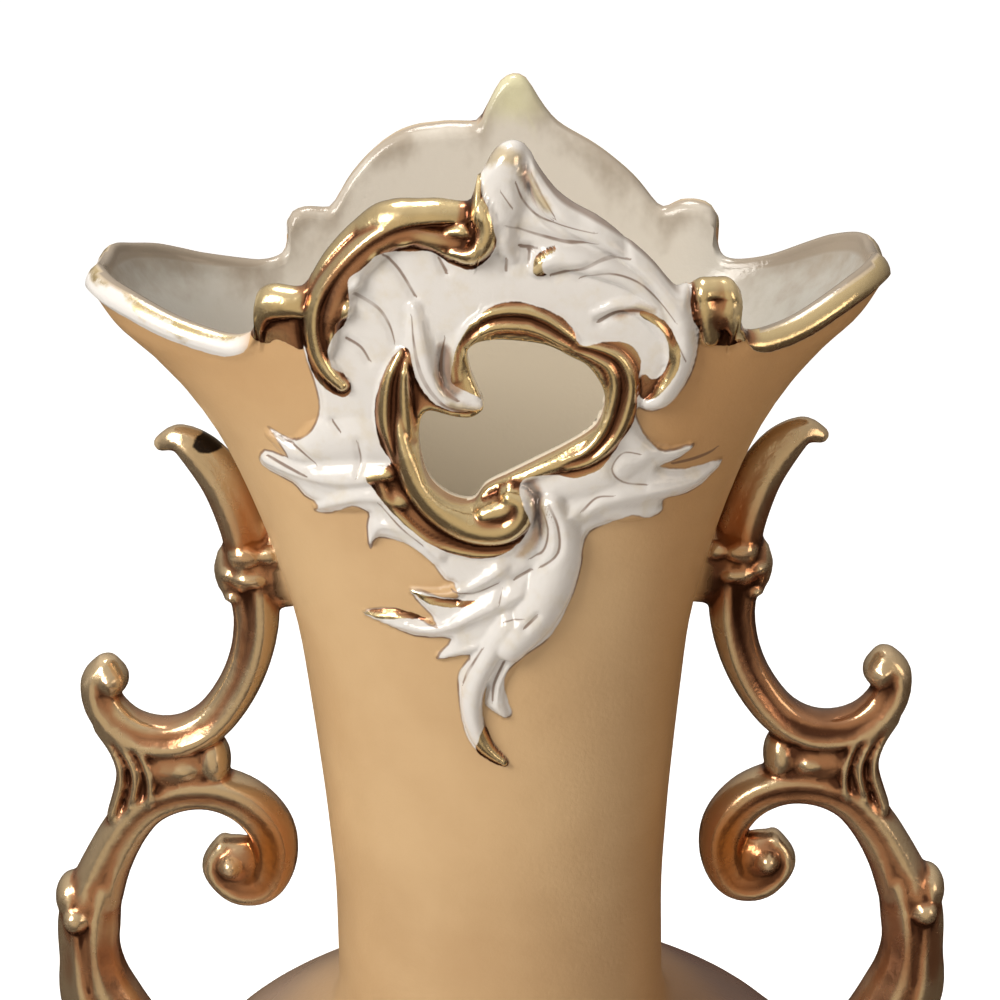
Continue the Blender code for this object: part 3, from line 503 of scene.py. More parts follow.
@dataclass
class Vessel:
    """Hollow vessel from foot to winged mouth, with the relief on its front."""

    relief: Relief = field(default_factory=Relief)
    wall: float = 4.0
    columns: int = 640
    block: int = 8
    cell: float = 0.5
    neck_from: float = 226.0
    crest_from: float = 300.0
    bead: float = 0.7
    side: Profile = Profile((
        (0.0, 48.4), (7.6, 48.8), (11.0, 43.0), (16.0, 35.0), (23.0, 31.2), (31.0, 34.4),
        (44.0, 46.2), (60.0, 58.8), (77.0, 69.2), (97.0, 75.4), (112.6, 76.5),
        (128.6, 75.2), (141.6, 70.4), (150.6, 62.6), (157.4, 52.6), (162.6, 42.8),
        (166.2, 34.6), (172.0, 33.2), (190.0, 33.1), (210.0, 34.2), (222.0, 35.3),
        (237.0, 36.9), (250.0, 38.5), (265.0, 42.2), (278.0, 46.5), (290.0, 51.6),
        (299.0, 57.2), (306.5, 63.8), (313.0, 70.8), (320.5, 75.5)))
    front: Profile = Profile((
        (210.0, 34.2), (222.0, 34.6), (237.0, 35.2), (265.0, 36.6), (290.0, 37.5),
        (320.5, 38.0)))
    cavity: Profile = Profile((
        (31.0, 14.0), (45.0, 42.0), (72.0, 62.5), (108.0, 71.8), (132.0, 68.5),
        (150.2, 52.5), (159.6, 33.5), (172.0, 29.5), (196.0, 29.4)))
    rim: Points = (
        (-75.5, 321.5), (-74.5, 322.4), (-72.0, 321.5), (-68.0, 320.5), (-63.5, 319.0),
        (-59.5, 317.6), (-55.0, 316.4), (-51.0, 315.5), (-48.2, 315.0), (-45.4, 315.2),
        (-42.8, 316.4), (-41.8, 319.0), (-41.2, 322.2), (-39.8, 324.4), (-37.0, 325.3),
        (-32.4, 325.0), (-30.8, 327.0), (-27.5, 332.0), (-22.0, 337.4), (-15.5, 340.4),
        (-9.0, 341.5), (-2.4, 341.8), (-0.9, 343.4), (0.5, 346.2), (2.6, 349.6),
        (5.2, 350.9), (7.6, 350.0), (9.6, 346.8), (11.6, 343.8), (14.5, 340.8),
        (22.0, 336.3), (29.0, 330.5), (33.6, 324.9), (35.5, 324.3), (38.5, 325.6),
        (42.0, 325.8), (44.8, 324.6), (46.2, 321.4), (46.4, 318.2), (47.6, 315.2),
        (50.0, 314.0), (53.5, 314.2), (58.5, 315.6), (65.5, 318.9), (71.0, 321.3), (74.5, 322.4),
        (75.5, 321.5))

    def half_depth(self, z: np.ndarray) -> np.ndarray:
        """Half depth of the outside at each height."""
        return np.where(z <= 210.0, self.side.at(z), self.front.at(z))

    def squareness(self, z: np.ndarray) -> np.ndarray:
        """Exponent of the outline: 2 is an ellipse, more is squarer."""
        return 2.0 + 0.5 * np.clip((z - 240.0) / 60.0, 0.0, 1.0)

    def outside(self, turn: np.ndarray, z: np.ndarray) -> np.ndarray:
        """Points of the bare outer face at column angles and heights."""
        n = self.squareness(z)
        c, s = np.cos(turn), np.sin(turn)
        x = self.side.at(z) * np.sign(c) * np.abs(c) ** (2.0 / n)
        y = self.half_depth(z) * np.sign(s) * np.abs(s) ** (2.0 / n)
        return np.stack([x, y, z + 0.0 * x], -1)

    def spread(self, p: np.ndarray) -> np.ndarray:
        """Superellipse radius of places: 1 on the outer face, less inside it."""
        z = p[..., 2]
        n = self.squareness(z)
        u = (np.abs(p[..., 0]) / self.side.at(z)) ** n
        v = (np.abs(p[..., 1]) / self.half_depth(z)) ** n
        return (u + v) ** (1.0 / n)

    def normal(self, p: np.ndarray) -> np.ndarray:
        """Unit normals of the outer face at its points."""
        z = p[..., 2]
        n = self.squareness(z)
        a, b = self.side.at(z), self.half_depth(z)
        gx = np.sign(p[..., 0]) * (np.abs(p[..., 0]) / a) ** (n - 1) / a
        gy = np.sign(p[..., 1]) * (np.abs(p[..., 1]) / b) ** (n - 1) / b
        lift = np.array([0.0, 0.0, 0.4])
        gz = (self.spread(p + lift) - self.spread(p - lift)) / 0.8
        g = np.stack([gx, gy, gz], -1)
        return g / np.maximum(np.linalg.norm(g, axis=-1, keepdims=True), 1e-9)

    def front_y(self, x: np.ndarray, z: np.ndarray) -> np.ndarray:
        """Y of the bare front face behind places seen from the front."""
        n = self.squareness(z)
        u = np.minimum(np.abs(x) / self.side.at(z), 0.9995)
        return -self.half_depth(z) * (1.0 - u**n) ** (1.0 / n)

    def rim_height(self, x: np.ndarray) -> np.ndarray:
        """Height of the rim at each place across."""
        curve = spline(self.rim, 4)
        return np.interp(x, np.maximum.accumulate(curve[:, 0]), curve[:, 1])

    def turns(self) -> tuple[np.ndarray, np.ndarray]:
        """Column angles, evenly spaced for the body and by arc for the mouth."""
        even = 2 * math.pi * np.arange(self.columns) / self.columns
        fine = np.linspace(0.0, 2 * math.pi, 24001)
        p = self.outside(fine, np.full(fine.shape, 305.0))
        arc = np.concatenate([[0.0], np.cumsum(np.linalg.norm(np.diff(p, axis=0), axis=1))])
        mouth = np.interp(arc[-1] * np.arange(self.columns) / self.columns, arc, fine)
        return even, mouth

    def column_turn(self, z: np.ndarray) -> np.ndarray:
        """Angle of every column at a height given for each column."""
        even, mouth = self.turns()
        return even + (mouth - even) * soft_step(z, 170.0, 290.0)

    def column_rims(self) -> np.ndarray:
        """Rim height of every column, found by halving."""
        low = np.full(self.columns, self.neck_from)
        high = np.full(self.columns, 356.0)
        for _ in range(36):
            mid = 0.5 * (low + high)
            over = self.rim_height(self.outside(self.column_turn(mid), mid)[:, 0]) > mid
            low, high = np.where(over, mid, low), np.where(over, high, mid)
        return 0.5 * (low + high)

    def raised(self, p: np.ndarray, rims: np.ndarray) -> np.ndarray:
        """Outer points lifted by the relief, the crest moulding and the lip's bead."""
        x, z = p[..., 0], p[..., 2]
        normal = self.normal(p)
        bead = self.bead * np.exp(-(((rims - z) - 1.9) / 1.7) ** 2)
        front = p[..., 1] < 0
        shown = front & (z > 231.0) & (np.abs(x) < 46.0)
        high = np.zeros(x.shape)
        cover = inside_gap(x[shown], z[shown], spline(self.relief.outline, 3, True))
        high[shown] = self.relief.rise(x[shown], z[shown], cover)
        back = ~front & (z > 290.0) & (np.abs(x) < 46.0)
        high[back] = self.relief.crest_back(x[back], z[back])
        bead = bead * (1.0 - soft_step(high, 0.2, 1.2))
        out = p + normal * bead[..., None]
        out[..., 1] += np.sign(p[..., 1]) * high
        return out

    def rings(self) -> tuple[np.ndarray, dict[str, int]]:
        """All fine rows from the foot's underside over the lip to the cavity floor.

        Returns:
            Rows by columns by 3 points, and the first row of each stretch.
        """
        even, _ = self.turns()
        rims = self.column_rims()
        marks: dict[str, int] = {}
        rows: list[np.ndarray] = []

        def turned(path: Points, step: float) -> None:
            """Adds the rows of one turned profile.

            Args:
                path: Radius and height of its points.
                step: About how far apart its rows are.
            """
            curve = spline(path, 8)
            arc = np.concatenate([[0.0], np.cumsum(np.hypot(*np.diff(curve, axis=0).T))])
            count = self.block * max(1, round(arc[-1] / step / self.block))
            for s in arc[-1] * np.arange(count) / count:
                r, z = np.interp(s, arc, curve[:, 0]), np.interp(s, arc, curve[:, 1])
                rows.append(np.stack(
                    [r * np.cos(even), r * np.sin(even), z + 0 * even], -1))

        def profile_rows(zs: np.ndarray, radius: Profile, inset: float) -> None:
            """Adds the rows of one stretch of wall.

            Args:
                zs: Heights that it runs through, close together.
                radius: The profile that it follows.
                inset: How far it lies inside the outer face; below 0 it is turned.
            """
            rs = radius.at(zs)
            arc = np.concatenate([[0.0], np.cumsum(np.hypot(np.diff(zs), np.diff(rs)))])
            count = self.block * round(arc[-1] / self.cell / self.block)
            for z in np.interp(arc[-1] * np.arange(count) / count, arc, zs):
                level = np.full(self.columns, z)
                p = self.outside(self.column_turn(level), level)
                if inset > 0:
                    p = p - self.normal(p) * inset
                elif inset < 0:
                    r = float(radius.at(np.array(z)))
                    p = np.stack([r * np.cos(even), r * np.sin(even), level], -1)
                rows.append(p)

        marks["under"] = 0
        turned(((0.0, 20.0), (12.0, 20.0), (22.0, 19.8), (26.0, 17.6), (33.0, 10.6),
                (39.2, 4.6), (40.6, 1.6), (42.0, 0.35), (43.8, 0.0), (46.0, 0.0),
                (47.6, 0.25), (48.4, 1.2)), self.cell)
        marks["outer"] = len(rows)
        profile_rows(np.linspace(1.2, self.neck_from, 1600), self.side, 0.0)
        marks["neck"] = len(rows)
        low, high = self.block * 18, self.block * 12
        probe = np.stack([self.outside(self.column_turn(rims), rims - 2.0)])[0]
        crown = self.raised(probe, rims)
        thick = self.wall + np.linalg.norm(crown - probe, axis=-1)
        top = rims - 0.5 * thick
        z = np.concatenate([
            np.linspace(self.neck_from, self.crest_from, low, endpoint=False)[:, None]
            + 0.0 * top,
            self.crest_from + (np.arange(high) / high)[:, None] * (top - self.crest_from)])
        bare = np.stack([self.outside(self.column_turn(row), row) for row in z])
        outer = self.raised(bare, np.broadcast_to(rims, z.shape))
        rows.extend(outer)
        marks["lip"] = len(rows)
        edge = self.outside(self.column_turn(top), top)
        out_edge = self.raised(edge, rims)
        in_edge = edge - self.normal(edge) * self.wall
        middle, reach = 0.5 * (out_edge + in_edge), 0.5 * (out_edge - in_edge)
        tall = np.linalg.norm(reach, axis=-1, keepdims=True) * np.array([0.0, 0.0, 1.0])
        for phi in math.pi * np.arange(16) / 16:
            rows.append(middle + reach * math.cos(phi) + tall * math.sin(phi))
        marks["inner"] = len(rows)
        inner = bare - self.normal(bare) * self.wall
        rows.append(in_edge)
        rows.extend(inner[:0:-1])
        marks["cavity"] = len(rows)
        profile_rows(np.linspace(self.neck_from, 196.0, 240), self.side, self.wall)
        profile_rows(np.linspace(196.0, 31.0, 1600), self.cavity, -1.0)
        marks["floor"] = len(rows)
        turned(((14.0, 31.0), (8.0, 30.4), (0.0, 30.4)), self.cell)
        rows.append(np.tile([[0.0, 0.0, 30.4]], (self.columns, 1)))
        rows[0] = np.tile([[0.0, 0.0, 20.0]], (self.columns, 1))
        return np.array(rows), marks

    def levels(self, grid: np.ndarray, marks: dict[str, int]) -> np.ndarray:
        """Coarseness of each block of cells: 0 keeps them all, 3 makes one of them."""
        b = self.block
        high, wide = (len(grid) - 1) // b, self.columns // b
        level = np.full((high, wide), 3)
        rims = self.rim_height(grid[..., 0])
        cover_line = spline(self.relief.outline, 3, True)
        hole_line = spline(self.relief.opening, 3, True)
        for j in range(high):
            first = j * b
            z = grid[first: first + b + 1, :, 2]
            for i in range(wide):
                cols = np.arange(i * b, i * b + b + 1) % self.columns
                patch = grid[first: first + b + 1][:, cols]
                x0, y0, z0 = patch[..., 0], patch[..., 1], patch[..., 2]
                front = y0.mean() < 0
                outer = first < marks["lip"]
                if first < marks["outer"] or z.mean() < 14.0 and outer:
                    level[j, i] = 1 if z.mean() < 6.0 else 2
                elif marks["lip"] <= first < marks["inner"]:
                    level[j, i] = 0 if front and abs(x0.mean()) < 44.0 else 1
                elif marks["neck"] <= first < marks["cavity"]:
                    drop = (rims[first, cols] - z0).min()
                    if drop < 6.0:
                        level[j, i] = 1 if abs(x0.mean()) < 48.0 or drop < 3.0 else 2
                    if front and abs(x0).min() < 44.0 and z0.max() > 230.0:
                        if outer and inside_gap(x0, z0, cover_line).max() > -1.2:
                            level[j, i] = 0
                        elif inside_gap(x0, z0, hole_line).max() > -1.4:
                            level[j, i] = 0
                    if outer and abs(x0).mean() < 58.0 and 40.0 < abs(x0).mean() and (
                            drop < 12.0):
                        level[j, i] = min(level[j, i], 1)
                elif 150.0 < z.mean() < 182.0:
                    level[j, i] = 2
        for _ in range(4):
            near = level.copy()
            near[1:] = np.minimum(near[1:], level[:-1] + 1)
            near[:-1] = np.minimum(near[:-1], level[1:] + 1)
            beside = np.minimum(np.roll(level, 1, 1), np.roll(level, -1, 1))
            near = np.minimum(near, beside + 1)
            level = near
        return level

    def build(self) -> bpy.types.Object:
        """Makes the vessel's mesh, coarse where it is plain and fine on the relief.

        Returns:
            The vessel as one closed object.
        """
        grid, marks = self.rings()
        level = self.levels(grid, marks)
        b, columns, last = self.block, self.columns, len(grid) - 1
        hole = spline(self.relief.opening, 6, True)
        cut = self.opening_cells(grid, marks, hole)
        faces: list[list[int]] = []

        def mark(j: int, i: int) -> int:
            """The vertex number at row j and column i; an end row has one vertex."""
            if j in (0, last):
                i = 0
            return j * columns + i % columns

        for bj in range(level.shape[0]):
            for bi in range(level.shape[1]):
                size = 1 << int(level[bj, bi])
                below = 1 << int(level[bj - 1, bi]) if bj else size
                above = 1 << int(level[bj + 1, bi]) if bj + 1 < len(level) else size
                left = 1 << int(level[bj, bi - 1])
                right = 1 << int(level[bj, (bi + 1) % level.shape[1]])
                for j in range(bj * b, bj * b + b, size):
                    low = min(size, below) if j == bj * b else size
                    up = min(size, above) if j + size == bj * b + b else size
                    for i in range(bi * b, bi * b + b, size):
                        if size == 1 and cut[j, i % columns]:
                            continue
                        west = min(size, left) if i == bi * b else size
                        east = min(size, right) if i + size == bi * b + b else size
                        loop = [mark(j, k) for k in range(i, i + size, low)]
                        loop += [mark(k, i + size) for k in range(j, j + size, east)]
                        loop += [mark(j + size, k) for k in range(i + size, i, -up)]
                        loop += [mark(k, i) for k in range(j + size, j, -west)]
                        slim = [v for k, v in enumerate(loop) if v != loop[k - 1]]
                        faces.append(slim)
        points = grid.reshape(-1, 3)
        extra, sides = self.opening_wall(points, cut, marks, hole)
        faces.extend(sides)
        points = np.concatenate([points, extra])
        used = np.unique(np.concatenate([np.array(f) for f in faces]))
        place = np.full(len(points), -1)
        place[used] = np.arange(len(used))
        mesh = bpy.data.meshes.new("vessel")
        mesh.from_pydata((points[used] * MM).tolist(), [],
                         [[int(place[v]) for v in f] for f in faces])
        mesh.update()
        vessel = bpy.data.objects.new("vessel", mesh)
        bpy.context.scene.collection.objects.link(vessel)
        return vessel

    def opening_cells(self, grid: np.ndarray, marks: dict[str, int],
                      hole: np.ndarray) -> np.ndarray:
        """Cells of both walls that the pierced opening takes out."""
        cut = np.zeros((len(grid) - 1, self.columns), bool)
        top, base = marks["lip"], marks["neck"]
        front = np.arange(self.columns // 2, self.columns - 1)
        block = grid[base:top]
        mid = 0.25 * (block[:-1][:, front] + block[1:][:, front]
                      + block[:-1][:, front + 1] + block[1:][:, front + 1])
        inside = inside_gap(mid[..., 0], mid[..., 2], hole) > 0.0
        rows = np.arange(base, top - 1)
        for k, j in enumerate(rows):
            cut[j, front[inside[k]]] = True
            mirror = marks["inner"] + (top - 1 - j)
            cut[mirror, front[inside[k]]] = True
        return cut

    def opening_wall(self, points: np.ndarray, cut: np.ndarray, marks: dict[str, int],
                     hole: np.ndarray) -> tuple[np.ndarray, list[list[int]]]:
        """Snaps both walls to the opening's outline and joins them through it.

        Args:
            points: all points, moved in place at the opening.
            cut: cells taken out.
            marks: first rows of the stretches.
            hole: outline of the opening.

        Returns:
            New points and the faces of the opening's thickness.
        """
        columns, top, inner = self.columns, marks["lip"], marks["inner"]
        ring = {}
        for j, i in zip(*np.nonzero(cut[:top])):
            sides = (((j, i), (j, i + 1), (j - 1, i)), ((j, i + 1), (j + 1, i + 1), (j, i + 1)),
                     ((j + 1, i + 1), (j + 1, i), (j + 1, i)), ((j + 1, i), (j, i), (j, i - 1)))
            for a, c, cell in sides:
                if not cut[cell]:
                    ring[a] = c
        dense = spline(tuple(map(tuple, hole)), 3, True)
        layers = 6
        base = len(points)
        order = sorted(ring)
        extra = np.zeros((len(order) * (layers - 1), 3))
        index = {}
        cover = inside_gap(dense[:, 0], dense[:, 1], spline(self.relief.outline, 3, True))
        lifts = 0.7 * self.relief.rise(dense[:, 0], dense[:, 1], cover)
        for k, (j, i) in enumerate(order):
            out_id = j * columns + i
            in_id = (inner + top - j) * columns + i
            p, q = points[out_id], points[in_id]
            spot = int(np.hypot(dense[:, 0] - p[0], dense[:, 1] - p[2]).argmin())
            x, z = dense[spot, :2]
            skin = float(self.front_y(np.array(x), np.array(z)))
            p[:] = (x, skin - lifts[spot], z)
            slope = abs(float(self.normal(np.array([x, skin, z]))[1]))
            q[:] = (x, skin + self.wall / max(slope, 0.5), z)
            for m in range(1, layers):
                extra[k * (layers - 1) + m - 1] = p + (q - p) * m / layers
            index[(j, i)] = [out_id, *range(base + k * (layers - 1),
                                            base + (k + 1) * (layers - 1)), in_id]
        faces = []
        for a, c in ring.items():
            one, two = index[a], index[c]
            faces.extend([one[m], two[m], two[m + 1], one[m + 1]] for m in range(layers))
        return extra, faces


@dataclass(frozen=True)
class Member:
    """One swept scroll of a handle: places along it and the hollow down its front.

    A place is distance from the axis, height, half width in the plane and half depth.
    """

    places: Points
    hollow: float = 0.0
    aside: float = 0.0
    ribs: float = 0.0
    sides: int = 32

    def build(self, name: str) -> bpy.types.Object:
        """Makes the scroll as a closed tube with rounded ends.

        Args:
            name: name of the object.

        Returns:
            The scroll in the plane y = 0, in millimetres.
        """
        path = spline(self.places, 8)
        run = np.gradient(path[:, :2], axis=0)
        run /= np.linalg.norm(run, axis=1, keepdims=True)
        across = np.stack([-run[:, 1], run[:, 0]], -1)
        turn = 2 * math.pi * np.arange(self.sides) / self.sides
        u, v = np.cos(turn), np.sin(turn)
        dip = 1.0 - self.hollow * np.exp(-((u - self.aside) / 0.42) ** 2)
        dip = dip - self.ribs * 0.5 * (1.0 + np.cos(u * 3.0 * math.pi)) * np.abs(v) ** 2
        rings = []

        def ring(k: int, slide: float, scale: float) -> None:
            """Adds one ring across the path.

            Args:
                k: The place on the path.
                slide: How far past that place.
                scale: Its size as a share of the full one.
            """
            middle = path[k, :2] + run[k] * slide
            flat = middle + across[k] * (u * path[k, 2] * scale)[:, None]
            rings.append(np.stack(
                [flat[:, 0], v * dip * path[k, 3] * scale, flat[:, 1]], -1))

        for a in (75.0, 50.0, 25.0):
            ring(0, -path[0, 2] * math.sin(math.radians(a)), math.cos(math.radians(a)))
        for k in range(len(path)):
            ring(k, 0.0, 1.0)
        for a in (25.0, 50.0, 75.0):
            ring(-1, path[-1, 2] * math.sin(math.radians(a)), math.cos(math.radians(a)))
        count = len(rings)
        faces = [[k * self.sides + i, k * self.sides + (i + 1) % self.sides,
                  (k + 1) * self.sides + (i + 1) % self.sides, (k + 1) * self.sides + i]
                 for k in range(count - 1) for i in range(self.sides)]
        faces.append(list(range(self.sides))[::-1])
        faces.append([(count - 1) * self.sides + i for i in range(self.sides)])
        mesh = bpy.data.meshes.new(name)
        mesh.from_pydata(np.concatenate(rings).tolist(), [], faces)
        tube = bpy.data.objects.new(name, mesh)
        bpy.context.scene.collection.objects.link(tube)
        bpy.ops.object.select_all(action="DESELECT")
        bpy.context.view_layer.objects.active = tube
        tube.select_set(True)
        bpy.ops.object.mode_set(mode="EDIT")
        bpy.ops.mesh.select_all(action="SELECT")
        bpy.ops.mesh.normals_make_consistent(inside=False)
        bpy.ops.object.mode_set(mode="OBJECT")
        return tube


@dataclass
class Handle:
    """One scroll handle: upper C, collar, saddle, lower scroll with its volute and foot."""

    side: int = -1
    voxel: float = 0.62
    smoothing: int = 4
    kept: float = 0.3
    arm: Member = Member((
        (63.6, 286.2, 1.7, 2.3), (60.2, 287.0, 2.8, 3.6), (56.0, 283.9, 4.0, 4.8),
        (52.2, 278.6, 4.5, 5.4), (49.6, 272.4, 4.7, 5.7), (48.0, 266.0, 4.7, 5.9),
        (47.4, 259.6, 4.9, 6.2)), 0.22, -0.35)
    curl: Member = Member((
        (47.3, 261.6, 5.0, 6.2), (47.1, 255.4, 4.8, 5.9), (47.0, 249.0, 4.5, 5.9),
        (48.6, 241.5, 4.2, 5.9), (51.9, 234.4, 4.1, 5.9), (56.6, 228.4, 4.1, 6.1),
        (62.1, 225.2, 4.1, 6.3), (67.9, 224.6, 4.1, 6.3), (73.6, 226.6, 4.1, 5.9),
        (77.8, 231.0, 4.1, 5.3), (79.0, 236.4, 3.7, 4.8), (77.2, 239.2, 3.4, 4.4)),
        0.26, 0.3)
    arch: Member = Member((
        (55.6, 200.6, 2.4, 4.0), (57.6, 196.2, 2.9, 4.6), (53.6, 191.6, 3.4, 5.0),
        (48.2, 192.2, 4.0, 5.4), (45.4, 197.6, 4.4, 5.9), (46.0, 204.4, 4.7, 6.2),
        (50.4, 210.2, 4.5, 6.3), (57.0, 213.2, 4.2, 6.3), (64.0, 213.0, 4.1, 6.3),
        (70.5, 210.2, 4.3, 6.3), (75.5, 204.8, 4.6, 6.3), (79.7, 197.4, 5.0, 6.4),
        (82.8, 190.0, 5.8, 6.8)), 0.24, -0.1)
    leg: Member = Member((
        (82.2, 192.0, 5.4, 6.4), (84.2, 185.0, 6.4, 6.9), (84.6, 176.5, 6.4, 6.9),
        (83.0, 166.5, 8.2, 7.4), (76.6, 155.6, 8.2, 7.6), (65.5, 145.5, 6.6, 7.0)),
        0.0, 0.0, 0.16)
    web: Member = Member(((46.6, 260.0, 8.4, 5.0), (39.6, 261.3, 9.0, 5.4)))
    flutes: tuple[Points, ...] = (
        ((79.4, 227.6, 1.2, 4.2), (76.2, 222.6, 1.4, 5.0), (75.2, 217.0, 1.4, 5.2),
         (77.8, 208.6, 1.2, 5.2)),
        ((76.0, 226.2, 1.2, 5.2), (73.1, 221.6, 1.4, 5.8), (72.2, 216.8, 1.4, 6.0),
         (74.0, 210.2, 1.2, 5.6)),
        ((72.4, 225.6, 1.2, 5.6), (70.1, 221.0, 1.3, 6.0), (69.2, 216.4, 1.3, 6.2),
         (69.8, 211.8, 1.2, 5.8)))

    def ball(self, r: float, z: float, y: float, size: tuple[float, float, float]) -> None:
        """Adds one rounded knob.

        Args:
            r: distance from the axis.
            z: height.
            y: place front to back.
            size: half sizes across, front to back and up.
        """
        bpy.ops.object.select_all(action="DESELECT")
        bpy.ops.mesh.primitive_uv_sphere_add(segments=28, ring_count=18, radius=1.0,
                                             location=(r, y, z), scale=size)
        bpy.ops.object.transform_apply(location=True, rotation=True, scale=True)

    def knobs(self) -> list[bpy.types.Object]:
        """Adds the collar, the saddle, the eye, the end ball and foot knobs."""
        before = set(bpy.data.objects)
        for r, z, y, size in (
                (51.6, 260.2, 0.0, (2.6, 5.2, 1.9)), (51.4, 255.2, 0.0, (1.9, 4.6, 1.3)),
                (48.0, 264.2, -3.9, (3.6, 2.9, 2.3)), (48.0, 264.2, 3.9, (3.6, 2.9, 2.3)),
                (43.6, 264.4, -3.6, (2.4, 2.6, 2.0)), (43.6, 264.4, 3.6, (2.4, 2.6, 2.0)),
                (47.4, 259.4, 0.0, (5.3, 6.8, 2.0)),
                (76.6, 237.6, 0.0, (3.7, 5.0, 3.7)), (76.4, 237.8, 0.0, (1.8, 5.6, 1.8)),
                (54.3, 197.6, 0.0, (3.0, 6.6, 3.0)), (53.2, 196.9, 0.0, (5.9, 4.4, 5.9)),
                (65.0, 219.0, 0.0, (10.6, 5.5, 6.6)), (62.6, 218.9, 0.0, (4.2, 6.2, 2.2)),
                (56.8, 219.8, 0.0, (3.4, 5.4, 5.4)),
                (87.2, 189.8, 0.0, (3.6, 5.8, 5.2)),
                (86.2, 186.6, -5.4, (2.6, 2.6, 2.5)), (86.2, 186.6, 5.4, (2.6, 2.6, 2.5))):
            self.ball(r, z, y, size)
        return [o for o in bpy.data.objects if o not in before]

    def build(self) -> bpy.types.Object:
        """Makes the handle as one smooth closed casting.

        Returns:
            The handle on its side of the vase, in metres.
        """
        parts = [self.arm.build("arm"), self.curl.build("curl"), self.arch.build("arch"),
                 self.leg.build("leg"), self.web.build("web")]
        parts += [Member(places).build(f"flute_{k}")
                  for k, places in enumerate(self.flutes)]
        parts += self.knobs()
        bpy.ops.object.select_all(action="DESELECT")
        for part in parts:
            part.select_set(True)
        handle = parts[0]
        bpy.context.view_layer.objects.active = handle
        bpy.ops.object.join()
        handle.name = "handle_left" if self.side < 0 else "handle_right"
        remesh = handle.modifiers.new("cast", "REMESH")
        remesh.mode, remesh.voxel_size, remesh.adaptivity = "VOXEL", self.voxel, 0.0
        bpy.ops.object.modifier_apply(modifier=remesh.name)
        smooth = handle.modifiers.new("melt", "SMOOTH")
        smooth.factor, smooth.iterations = 0.5, self.smoothing
        bpy.ops.object.modifier_apply(modifier=smooth.name)
        slim = handle.modifiers.new("slim", "DECIMATE")
        slim.ratio = self.kept
        bpy.ops.object.modifier_apply(modifier=slim.name)
        handle.data.transform(Matrix.Diagonal((self.side * MM, MM, MM, 1.0)))
        if self.side < 0:
            handle.data.flip_normals()
        return handle


